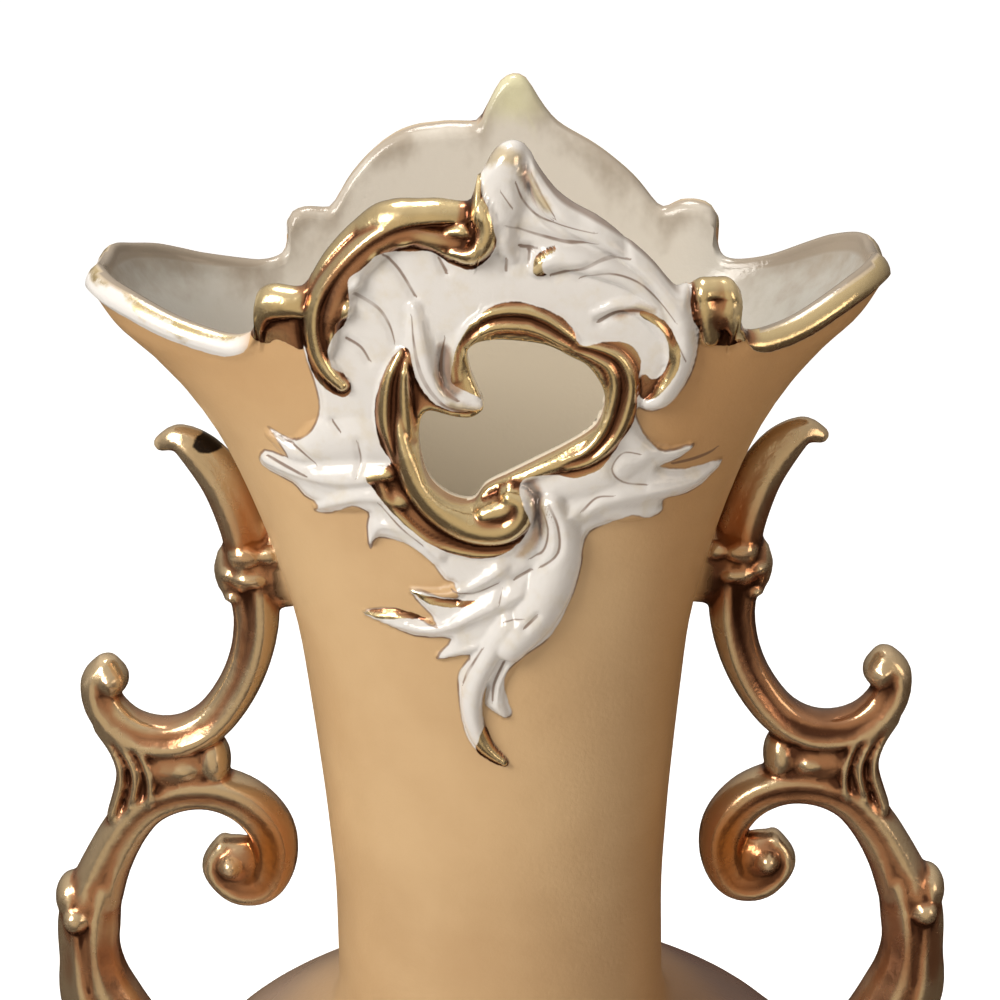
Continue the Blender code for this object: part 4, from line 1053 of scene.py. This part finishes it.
@dataclass
class Vase:
    """The whole casting: vessel and both handles made one, with its finish maps."""

    vessel: Vessel = field(default_factory=Vessel)
    left: Handle = field(default_factory=Handle)
    right: Handle = field(default_factory=lambda: Handle(side=1))

    def build(self) -> bpy.types.Object:
        """Unites the vessel and its handles.

        Returns:
            The vase, with its finish maps on its points.
        """
        vase = self.vessel.build()
        log.info("vessel: %d faces", len(vase.data.polygons))
        for handle in (self.left.build(), self.right.build()):
            log.info("%s: %d faces", handle.name, len(handle.data.polygons))
            bpy.ops.object.select_all(action="DESELECT")
            vase.select_set(True)
            bpy.context.view_layer.objects.active = vase
            unite = vase.modifiers.new("unite", "BOOLEAN")
            unite.operation, unite.solver, unite.object = "UNION", "MANIFOLD", handle
            bpy.ops.object.modifier_apply(modifier=unite.name)
            bpy.data.objects.remove(handle)
        vase.name = vase.data.name = "vase_porcelain"
        vase.data.shade_smooth()
        self.chart(vase)
        return vase

    def chart(self, vase: bpy.types.Object) -> None:
        """Writes the maps that the finish reads, worked out from each point's place.

        Args:
            vase: the finished mesh.
        """
        mesh, shape = vase.data, self.vessel
        count = len(mesh.vertices)
        flat = np.zeros(count * 3)
        mesh.vertices.foreach_get("co", flat)
        p = flat.reshape(-1, 3) / MM
        x, y, z = p.T
        spread = shape.spread(p)
        depth = (spread - 1.0) * np.hypot(x, y) / np.maximum(spread, 0.05)
        rims = shape.rim_height(x)
        inner = (depth < -2.0) & (z > 24.0)
        handle = (depth > 0.35) & (np.abs(x) > shape.side.at(z) * 0.9) & (
            np.abs(y) < 12.0) & (z > 140.0) & (z < 295.0)
        front = (y < 0) & ~inner & (z > 225.0) & (np.abs(x) < 50.0)
        far = np.full(count, -6.0)
        white, gilt, line = far.copy(), far.copy(), np.full(count, 6.0)
        vein_side, vein_half, copper = line.copy(), np.zeros(count), np.zeros(count)
        fx, fz = x[front], np.minimum(z[front], rims[front] - 2.6)
        white[front] = inside_gap(fx, fz, spline(shape.relief.outline, 3, True))

        def largest(outlines: tuple[Points, ...], px: np.ndarray, pz: np.ndarray
                    ) -> np.ndarray:
            """How deep points lie in the outline that holds them best.

            Args:
                outlines: Closed outlines.
                px: The points' distances across.
                pz: The points' heights.

            Returns:
                The depth inside, and below 0 outside all of them.
            """
            best = np.full(px.shape, -6.0)
            for outline in outlines:
                best = np.maximum(best, inside_gap(px, pz, spline(outline, 3, True)))
            return best

        gilt[front] = largest(shape.relief.gilt, fx, fz)
        lobes = (np.abs(x) < 50.0) & (np.abs(x) > 30.0) & (z > 300.0) & (
            ~inner | (rims - z < 2.5)) & (y < 0)
        gilt[lobes] = np.maximum(gilt[lobes], largest(
            shape.relief.lobe_gilt, x[lobes], np.minimum(z[lobes], rims[lobes] - 0.4)))
        wash = far.copy()
        wash[front] = largest(shape.relief.washes, fx, z[front])
        gap, across = np.full(fx.shape, 6.0), np.full(fx.shape, 6.0)
        width = np.zeros(fx.shape)
        for vein in shape.relief.veins:
            d, half, _run, offset = near_path(fx, fz, spline(vein, 4))
            nearer = d < gap
            gap = np.where(nearer, d, gap)
            across = np.where(nearer, np.where(offset < 0, -d, d), across)
            width = np.where(nearer, half, width)
        line[front], vein_side[front], vein_half[front] = gap, across, width
        for stroke in shape.relief.strokes:
            if stroke.copper:
                d, half, _run, _offset = near_path(fx, fz, spline(stroke.path))
                near = 1.0 - soft_step(d / np.maximum(half, 0.25), 0.6, 1.2)
                copper[front] = np.maximum(copper[front], stroke.copper * near)
        drop = rims - z
        maps = {
            "white_in": np.clip(white, -6.0, 6.0),
            "gilt_in": np.clip(gilt, -6.0, 6.0),
            "line_gap": line,
            "vein_side": vein_side,
            "vein_half": vein_half,
            "height": z,
            "copper": copper,
            # painted reflection of the apricot neck on the handles' volute and collar
            "amber_reflection": np.exp(-((np.abs(x) - 46.0) / 5.5) ** 2 - ((z - 201.0) / 11.0) ** 2)
            + 0.7 * np.exp(-((np.abs(x) - 47.5) / 3.2) ** 2 - ((z - 272.0) / 9.0) ** 2),
            "rub": np.exp(-((x + 54.2) / 3.2) ** 2 - ((z - 286.8) / 2.0) ** 2) * (y < 1.0),
            "wash_in": np.clip(wash, -6.0, 6.0),
            "side": x / 80.0,
            "lip": np.where((y > 0) & ~inner, 1.0, soft_step(np.abs(x), 40.0, 45.0)),
            "peak": np.exp(-((x - 5.0) / 6.0) ** 2) * soft_step(z, 340.0, 345.0),
            "inside": inner.astype(float),
            "handle": handle.astype(float),
            "rim_drop": np.clip(np.where(z > 230.0, drop, 40.0), -6.0, 40.0),
            "hollow": np.clip(self.hollows(mesh, p), -2.0, 2.0),
        }
        for name, values in maps.items():
            layer = mesh.attributes.new(name, "FLOAT", "POINT")
            layer.data.foreach_set("value", values.astype(np.float32))
        log.info("maps written on %d points", count)

    def hollows(self, mesh: bpy.types.Mesh, p: np.ndarray) -> np.ndarray:
        """How hollow (above 0) or raised (below 0) the surface is at each point.

        Args:
            mesh: the mesh.
            p: its points in millimetres.

        Returns:
            Offsets of the smoothed surface along the normals, in millimetres.
        """
        edges = np.zeros(len(mesh.edges) * 2, np.int32)
        mesh.edges.foreach_get("vertices", edges)
        a, b = edges.reshape(-1, 2).T
        near = np.bincount(a, minlength=len(p)) + np.bincount(b, minlength=len(p))
        soft = p.copy()
        for _ in range(14):
            total = np.zeros_like(soft)
            for k in range(3):
                total[:, k] = (np.bincount(a, soft[b, k], len(p))
                               + np.bincount(b, soft[a, k], len(p)))
            soft = 0.4 * soft + 0.6 * total / np.maximum(near, 1)[:, None]
        normals = np.zeros(len(p) * 3)
        mesh.vertices.foreach_get("normal", normals)
        return ((soft - p) * normals.reshape(-1, 3)).sum(1)


class Shade:
    """Small helper that lays and links the nodes of one material."""

    def __init__(self, name: str) -> None:
        """Starts an empty material with its shader and output."""
        self.material = bpy.data.materials.new(name)
        self.material.use_nodes = True
        self.tree = self.material.node_tree
        self.shader = self.tree.nodes["Principled BSDF"]
        self.place = self.tree.nodes.new("ShaderNodeTexCoord").outputs["Object"]

    def feed(self, socket: bpy.types.NodeSocket, value: object) -> None:
        """Links a socket, or sets its constant."""
        if isinstance(value, bpy.types.NodeSocket):
            self.tree.links.new(value, socket)
        elif isinstance(value, tuple) and len(value) == 3 and socket.type == "RGBA":
            socket.default_value = (*value, 1.0)
        else:
            socket.default_value = value

    def map(self, name: str) -> bpy.types.NodeSocket:
        """One of the vase's finish maps."""
        node = self.tree.nodes.new("ShaderNodeAttribute")
        node.attribute_name = name
        return node.outputs["Fac"]

    def sum(self, kind: str, a: object, b: object = 0.0, clamp: bool = False
            ) -> bpy.types.NodeSocket:
        """Arithmetic on one or two values."""
        node = self.tree.nodes.new("ShaderNodeMath")
        node.operation, node.use_clamp = kind, clamp
        self.feed(node.inputs[0], a)
        self.feed(node.inputs[1], b)
        return node.outputs[0]

    def step(self, value: object, low: float, high: float, start: float = 0.0,
             end: float = 1.0) -> bpy.types.NodeSocket:
        """Smooth change from start to end while a value goes from low to high."""
        node = self.tree.nodes.new("ShaderNodeMapRange")
        node.interpolation_type = "SMOOTHSTEP"
        self.feed(node.inputs["Value"], value)
        for socket, number in zip(("From Min", "From Max", "To Min", "To Max"),
                                  (low, high, start, end)):
            node.inputs[socket].default_value = number
        return node.outputs[0]

    def noise(self, scale: float, detail: float = 4.0, rough: float = 0.55,
              stretch: tuple[float, float, float] | None = None) -> bpy.types.NodeSocket:
        """Cloudy noise, with the scale in clouds per metre."""
        node = self.tree.nodes.new("ShaderNodeTexNoise")
        place = self.place
        if stretch:
            turn = self.tree.nodes.new("ShaderNodeMapping")
            turn.inputs["Scale"].default_value = stretch
            self.feed(turn.inputs["Vector"], place)
            place = turn.outputs[0]
        self.feed(node.inputs["Vector"], place)
        node.inputs["Scale"].default_value = scale
        node.inputs["Detail"].default_value = detail
        node.inputs["Roughness"].default_value = rough
        return node.outputs["Fac"]

    def blend(self, share: object, a: object, b: object) -> bpy.types.NodeSocket:
        """Mix of two colours."""
        node = self.tree.nodes.new("ShaderNodeMix")
        node.data_type = "RGBA"
        self.feed(node.inputs["Factor"], share)
        self.feed(node.inputs["A"], a)
        self.feed(node.inputs["B"], b)
        return node.outputs["Result"]

    def mix(self, share: object, a: object, b: object) -> bpy.types.NodeSocket:
        """Mix of two numbers."""
        node = self.tree.nodes.new("ShaderNodeMix")
        self.feed(node.inputs["Factor"], share)
        self.feed(node.inputs["A"], a)
        self.feed(node.inputs["B"], b)
        return node.outputs["Result"]


def srgb(red: int, green: int, blue: int) -> tuple[float, float, float]:
    """Scene colour of a screen colour given in 0 to 255."""
    return tuple(v / 255 / 12.92 if v <= 10 else ((v / 255 + 0.055) / 1.055) ** 2.4
                 for v in (red, green, blue))


@dataclass(frozen=True)
class Porcelain:
    """Finish of the vase: apricot ground, white glaze and worn gilding, with painted shade and a
    painted reflection in their colours.
    """

    apricot: tuple[int, int, int] = (205, 173, 130)
    apricot_low: tuple[int, int, int] = (192, 158, 116)
    apricot_shade: tuple[int, int, int] = (186, 142, 92)
    bronze: tuple[int, int, int] = (150, 126, 108)
    mauve_shade: tuple[int, int, int] = (112, 84, 78)
    white: tuple[int, int, int] = (217, 215, 213)
    ivory: tuple[int, int, int] = (211, 205, 194)
    inside: tuple[int, int, int] = (216, 211, 202)
    inside_deep_shade: tuple[int, int, int] = (212, 202, 184)
    inside_wing_shade: tuple[int, int, int] = (172, 170, 164)
    gold: tuple[int, int, int] = (218, 198, 154)
    champagne: tuple[int, int, int] = (206, 184, 150)
    copper: tuple[int, int, int] = (178, 130, 96)
    umber_shade: tuple[int, int, int] = (88, 54, 36)
    amber_reflection: tuple[int, int, int] = (182, 112, 54)
    bare: tuple[int, int, int] = (38, 30, 24)
    line: tuple[int, int, int] = (112, 84, 66)
    brushed: tuple[int, int, int] = (132, 114, 92)
    pearl: tuple[int, int, int] = (216, 214, 172)

    def dress(self, vase: bpy.types.Object) -> None:
        """Makes the material and puts it on the vase.

        Args:
            vase: the charted mesh.
        """
        s = Shade("porcelain")
        cloud, grain, fine = s.noise(22.0), s.noise(260.0, 5.0), s.noise(900.0, 3.0)
        streak = s.noise(60.0, 4.0, 0.6, (1.3, 1.3, 0.9))
        hollow, side = s.map("hollow"), s.map("side")
        drop, inside = s.map("rim_drop"), s.map("inside")
        ragged = s.sum("MULTIPLY", s.sum("SUBTRACT", s.noise(420.0, 4.0), 0.5), 0.7)

        # apricot ground, white relief and the washes on it; the ground takes painted shade
        # towards its right side
        colour = s.blend(s.step(cloud, 0.35, 0.7), srgb(*self.apricot_low),
                         srgb(*self.apricot))
        height = s.map("height")
        # painted shade: the apricot ground darkens towards the right side, away from the key
        # light
        colour = s.blend(s.step(side, 0.26, 0.46, 0.0, 0.85), colour,
                         srgb(*self.apricot_shade))
        # the same darker apricot laid over the upper neck, darker towards the top
        colour = s.blend(s.step(height, 286.0, 312.0, 0.0, 0.4), colour,
                         srgb(*self.apricot_shade))
        lustre = s.sum("MULTIPLY", s.step(height, 158.0, 169.0, 1.0, 0.0),
                       s.step(height, 96.0, 150.0, 0.0, 1.0))
        lustre = s.sum("MULTIPLY", lustre, s.step(cloud, 0.3, 0.6, 0.72, 0.95))
        # painted shade: the shoulder's lustre band turns from bronze on the left to a darker
        # mauve on the right
        colour = s.blend(lustre, colour, s.blend(s.step(side, -0.5, 0.5), srgb(*self.bronze),
                                                 srgb(*self.mauve_shade)))
        white_in = s.map("white_in")
        white_share = s.step(s.sum("ADD", white_in, ragged), -0.12, 0.12)
        white = s.blend(s.step(grain, 0.45, 0.8), srgb(*self.white), srgb(*self.ivory))
        colour = s.blend(white_share, colour, white)
        edge = s.step(s.sum("ABSOLUTE", s.sum("ADD", white_in, 0.05)), 0.08, 0.3, 1.0, 0.0)
        edge = s.sum("MULTIPLY", edge, s.step(s.noise(120.0, 3.0), 0.38, 0.62, 0.15, 0.8))
        crest = s.sum("MULTIPLY", s.step(drop, 0.5, 1.3, 0.7, 0.0),
                      s.step(side, 0.08, 0.14))
        edge = s.sum("MAXIMUM", edge, s.sum("MULTIPLY", crest, s.step(side, 0.4, 0.45, 1.0,
                                                                      0.0)))
        line = s.sum("SUBTRACT", s.sum("ABSOLUTE", s.map("vein_side")), s.map("vein_half"))
        line = s.sum("MULTIPLY", s.step(line, -0.2, 0.06, 0.8, 0.0),
                     s.step(s.map("line_gap"), 0.44, 0.62, 1.0, 0.0))
        line = s.sum("MULTIPLY", line, s.step(s.noise(160.0, 2.0), 0.3, 0.55, 0.45, 1.0))
        colour = s.blend(s.sum("MAXIMUM", line, edge), colour, srgb(*self.line))
        wash = s.step(s.sum("ADD", s.map("wash_in"), s.sum("MULTIPLY", ragged, 2.2)),
                      -0.6, 0.9, 0.0, 0.75)

        # inside of the mouth: grey-white glaze with painted shade deeper down and on the wings'
        # inside, and brushed gilding along its edge
        # painted shade: the inside glaze turns tan further down from the rim
        within = s.blend(s.step(drop, 12.0, 32.0), srgb(*self.inside),
                         srgb(*self.inside_deep_shade))
        # painted shade: the inside of the wings is laid darker and greyer
        within = s.blend(s.step(s.sum("ABSOLUTE", side), 0.42, 0.78, 0.0, 0.95), within,
                         srgb(*self.inside_wing_shade))
        brush = s.sum("ADD", drop, s.sum("MULTIPLY", s.sum("SUBTRACT", streak, 0.5), 30.0))
        brush = s.sum("MAXIMUM", s.step(brush, -3.0, 9.0, 0.62, 0.0),
                      s.step(drop, 0.3, 1.6, 0.7, 0.0))
        within = s.blend(brush, within, srgb(*self.brushed))
        within = s.blend(s.sum("MULTIPLY", s.map("peak"), 0.7), within, srgb(*self.pearl))
        colour = s.blend(inside, colour, within)

        # gilding: handles, relief, lobes and the worn lip of the wings, with painted shade in
        # its hollows and on its right side and a painted reflection of the neck on the handles
        band = s.step(s.sum("ADD", drop, s.sum("MULTIPLY", ragged, 0.8)),
                      3.3, 3.5, 1.0, 0.0)
        band = s.sum("MULTIPLY", band, s.sum("SUBTRACT", 1.0, inside))
        band = s.sum("MULTIPLY", band, s.map("lip"))
        rub = s.sum("ADD", s.sum("MULTIPLY", side, 0.34), s.noise(130.0, 5.0, 0.65))
        rub = s.sum("ADD", rub, s.sum("MULTIPLY", drop, -0.1))
        kept = s.step(rub, 0.1, 0.3)
        colour = s.blend(band, colour, srgb(*self.white))
        gilt = s.step(s.sum("ADD", s.map("gilt_in"), ragged), -0.12, 0.14)
        foot = s.sum("MULTIPLY", s.step(height, 8.6, 9.2, 1.0, 0.0), s.step(inside, 0.4, 0.6,
                                                                            1.0, 0.0))
        gold = s.sum("MAXIMUM", s.sum("MAXIMUM", gilt, foot), s.map("handle"))
        gold = s.sum("MAXIMUM", gold, s.sum("MULTIPLY", band, kept))
        worn = s.step(s.sum("ADD", hollow, s.sum("MULTIPLY", grain, 0.5)), -0.62, -0.3,
                      0.5, 1.0)
        gold = s.sum("MAXIMUM", gold, s.sum("MULTIPLY", wash, 0.8))
        # painted shade: copper and dark umber in the gilding's hollows and on its right side;
        # the copper strokes and the cloud add the gilding's own tone
        tone_and_shade = s.sum("ADD", hollow, s.sum("MULTIPLY", s.sum("SUBTRACT", cloud, 0.5), 0.7))
        tone_and_shade = s.sum("ADD", tone_and_shade, s.step(side, 0.42, 0.56, 0.0, 0.16))
        tone_and_shade = s.sum("ADD", tone_and_shade, s.sum("MULTIPLY", s.map("copper"), 0.2))
        bright = s.blend(s.map("handle"), srgb(*self.gold), srgb(*self.champagne))
        gold_colour = s.blend(s.step(tone_and_shade, -0.2, 0.12), bright, srgb(*self.copper))
        gold_colour = s.blend(s.step(tone_and_shade, 0.1, 0.42), gold_colour, srgb(*self.umber_shade))
        # painted reflection: amber on the handles where the volute and collar face the apricot
        # neck
        amber_reflection = s.sum("MULTIPLY", s.map("amber_reflection"), s.map("handle"))
        gold_colour = s.blend(amber_reflection, gold_colour, srgb(*self.amber_reflection))
        gold_colour = s.blend(s.step(s.sum("ADD", s.map("rub"), s.sum(
            "MULTIPLY", ragged, 0.5)), 0.35, 0.5), gold_colour, srgb(*self.bare))
        colour = s.blend(gold, colour, gold_colour)
        s.feed(s.shader.inputs["Base Color"], colour)
        s.feed(s.shader.inputs["Metallic"], s.sum("MULTIPLY", s.sum(
            "MULTIPLY", gold, worn), s.mix(s.map("handle"), 0.9, 0.82)))
        rough = s.mix(white_share, s.mix(cloud, 0.34, 0.44), 0.09)
        rough = s.mix(lustre, rough, 0.26)
        rough = s.mix(inside, rough, 0.16)
        rough = s.mix(gold, rough, s.step(grain, 0.3, 0.8, 0.15, 0.32))
        s.feed(s.shader.inputs["Roughness"], rough)
        bump = s.tree.nodes.new("ShaderNodeBump")
        bump.inputs["Strength"].default_value = 0.22
        bump.inputs["Distance"].default_value = 0.0003
        s.feed(bump.inputs["Height"], s.sum("ADD", s.sum("MULTIPLY", grain, 0.6), fine))
        s.feed(s.shader.inputs["Normal"], bump.outputs[0])
        vase.data.materials.clear()
        vase.data.materials.append(s.material)


@dataclass
class Studio:
    """Pale floor, soft lights and the camera at the photograph's angle."""

    lens: float = 97.2
    sensor: float = 36.0
    shift: float = 0.03
    turn: float = -1.0
    eye: tuple[float, float, float] = (10.47, -499.9, 435.0)
    aim: tuple[float, float, float] = (1.4875, 0.0, 267.5177)

    def camera(self) -> None:
        """Sets the camera."""
        data = bpy.data.cameras.new("camera")
        data.lens, data.sensor_width, data.shift_y = self.lens, self.sensor, self.shift
        data.clip_start, data.clip_end = 0.01, 50.0
        cam = bpy.data.objects.new("camera", data)
        bpy.context.scene.collection.objects.link(cam)
        eye, aim = Vector(self.eye), Vector(self.aim)
        ahead = (aim - eye).normalized()
        right = ahead.cross(Vector((0.0, 0.0, 1.0))).normalized()
        up = right.cross(ahead)
        c, s = math.cos(math.radians(self.turn)), math.sin(math.radians(self.turn))
        right, up = right * c + up * s, up * c - right * s
        cam.matrix_world = Matrix.Translation(eye * MM) @ Matrix(
            (right, up, -ahead)).transposed().to_4x4()
        bpy.context.scene.camera = cam

    def floor(self) -> None:
        """Lays the pale floor."""
        bpy.ops.object.select_all(action="DESELECT")
        bpy.ops.mesh.primitive_plane_add(size=16.0, location=(0.0, 0.0, 0.0))
        plane = bpy.context.active_object
        plane.name = "floor"
        s = Shade("floor_paper")
        s.feed(s.shader.inputs["Base Color"], srgb(232, 231, 229))
        s.feed(s.shader.inputs["Roughness"], 0.8)
        light = s.tree.nodes.new("ShaderNodeLightPath")
        s.feed(s.shader.inputs["Emission Color"], srgb(255, 255, 255))
        s.feed(s.shader.inputs["Emission Strength"], s.sum(
            "MULTIPLY", light.outputs["Is Camera Ray"], 0.8))
        plane.data.materials.append(s.material)
        plane.visible_glossy = False
        plane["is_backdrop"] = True

    def lamp(self, name: str, place: tuple[float, float, float], size: float,
             power: float, tint: tuple[int, int, int]) -> None:
        """Adds one square softbox aimed at the neck.

        Args:
            name: name of the light.
            place: its place in millimetres.
            size: length of its side in millimetres.
            power: its power in watts.
            tint: its colour.
        """
        data = bpy.data.lights.new(name, "AREA")
        data.size, data.energy, data.color = size * MM, power, srgb(*tint)
        lamp = bpy.data.objects.new(name, data)
        bpy.context.scene.collection.objects.link(lamp)
        lamp.location = Vector(place) * MM
        aim = Vector((0.0, 0.0, 270.0)) * MM - lamp.location
        lamp.rotation_euler = aim.to_track_quat("-Z", "Y").to_euler()

    def sky(self) -> None:
        """Fills the room with soft light, and gives the gilding dark walls to mirror."""
        world = bpy.data.worlds.new("room")
        world.use_nodes = True
        bpy.context.scene.world = world
        tree = world.node_tree
        back = tree.nodes["Background"]
        path = tree.nodes.new("ShaderNodeLightPath")
        where = tree.nodes.new("ShaderNodeTexCoord")
        split = tree.nodes.new("ShaderNodeSeparateXYZ")
        tree.links.new(where.outputs["Generated"], split.inputs[0])
        ramp = tree.nodes.new("ShaderNodeMapRange")
        ramp.inputs["From Min"].default_value = -0.3
        ramp.inputs["From Max"].default_value = 0.9
        tree.links.new(split.outputs["Z"], ramp.inputs["Value"])
        dark = tree.nodes.new("ShaderNodeMix")
        dark.data_type = "RGBA"
        dark.inputs["A"].default_value = (*srgb(60, 42, 30), 1.0)
        dark.inputs["B"].default_value = (*srgb(226, 218, 206), 1.0)
        tree.links.new(ramp.outputs[0], dark.inputs["Factor"])
        pick = tree.nodes.new("ShaderNodeMix")
        pick.data_type = "RGBA"
        tree.links.new(path.outputs["Is Glossy Ray"], pick.inputs["Factor"])
        across = tree.nodes.new("ShaderNodeMapRange")
        across.inputs["From Min"].default_value = -1.0
        tree.links.new(split.outputs["X"], across.inputs["Value"])
        soft = tree.nodes.new("ShaderNodeMix")
        soft.data_type = "RGBA"
        soft.inputs["A"].default_value = (0.56, 0.54, 0.52, 1.0)
        soft.inputs["B"].default_value = (0.15, 0.125, 0.1, 1.0)
        tree.links.new(across.outputs[0], soft.inputs["Factor"])
        tree.links.new(soft.outputs["Result"], pick.inputs["A"])
        ahead = tree.nodes.new("ShaderNodeMapRange")
        ahead.interpolation_type = "SMOOTHSTEP"
        ahead.inputs["From Min"].default_value = -0.6
        ahead.inputs["From Max"].default_value = -0.99
        tree.links.new(split.outputs["Y"], ahead.inputs["Value"])
        facing = tree.nodes.new("ShaderNodeMix")
        facing.data_type = "RGBA"
        facing.inputs["B"].default_value = (*srgb(214, 198, 172), 1.0)
        tree.links.new(ahead.outputs[0], facing.inputs["Factor"])
        tree.links.new(dark.outputs["Result"], facing.inputs["A"])
        tree.links.new(facing.outputs["Result"], pick.inputs["B"])
        tree.links.new(pick.outputs["Result"], back.inputs["Color"])

    def build(self) -> None:
        """Sets up the whole studio."""
        bpy.context.scene.view_settings.view_transform = "Standard"
        self.camera()
        self.floor()
        self.sky()
        self.lamp("key", (-520.0, -560.0, 760.0), 420.0, 7.0, (255, 249, 240))
        self.lamp("fill", (620.0, -380.0, 420.0), 300.0, 0.7, (255, 232, 206))
        self.lamp("top", (-60.0, 120.0, 1000.0), 260.0, 3.0, (255, 250, 242))


def main() -> dict[str, list[list[float]]]:
    """Builds the scene.

    Returns:
        Box of the CAD model as it was loaded.
    """
    logging.basicConfig(level=logging.INFO, format="%(name)s: %(message)s")
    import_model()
    cad_box = [list(corner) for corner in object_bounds()]
    Studio().build()
    vase = Vase().build()
    Porcelain().dress(vase)
    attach(vase, BODY)
    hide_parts(NODE)
    log.info("%s: %d faces", vase.name, len(vase.data.polygons))
    box = [list(corner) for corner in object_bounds()]
    return {"cad": cad_box, "visual": box}


if __name__ == "__main__":
    main()
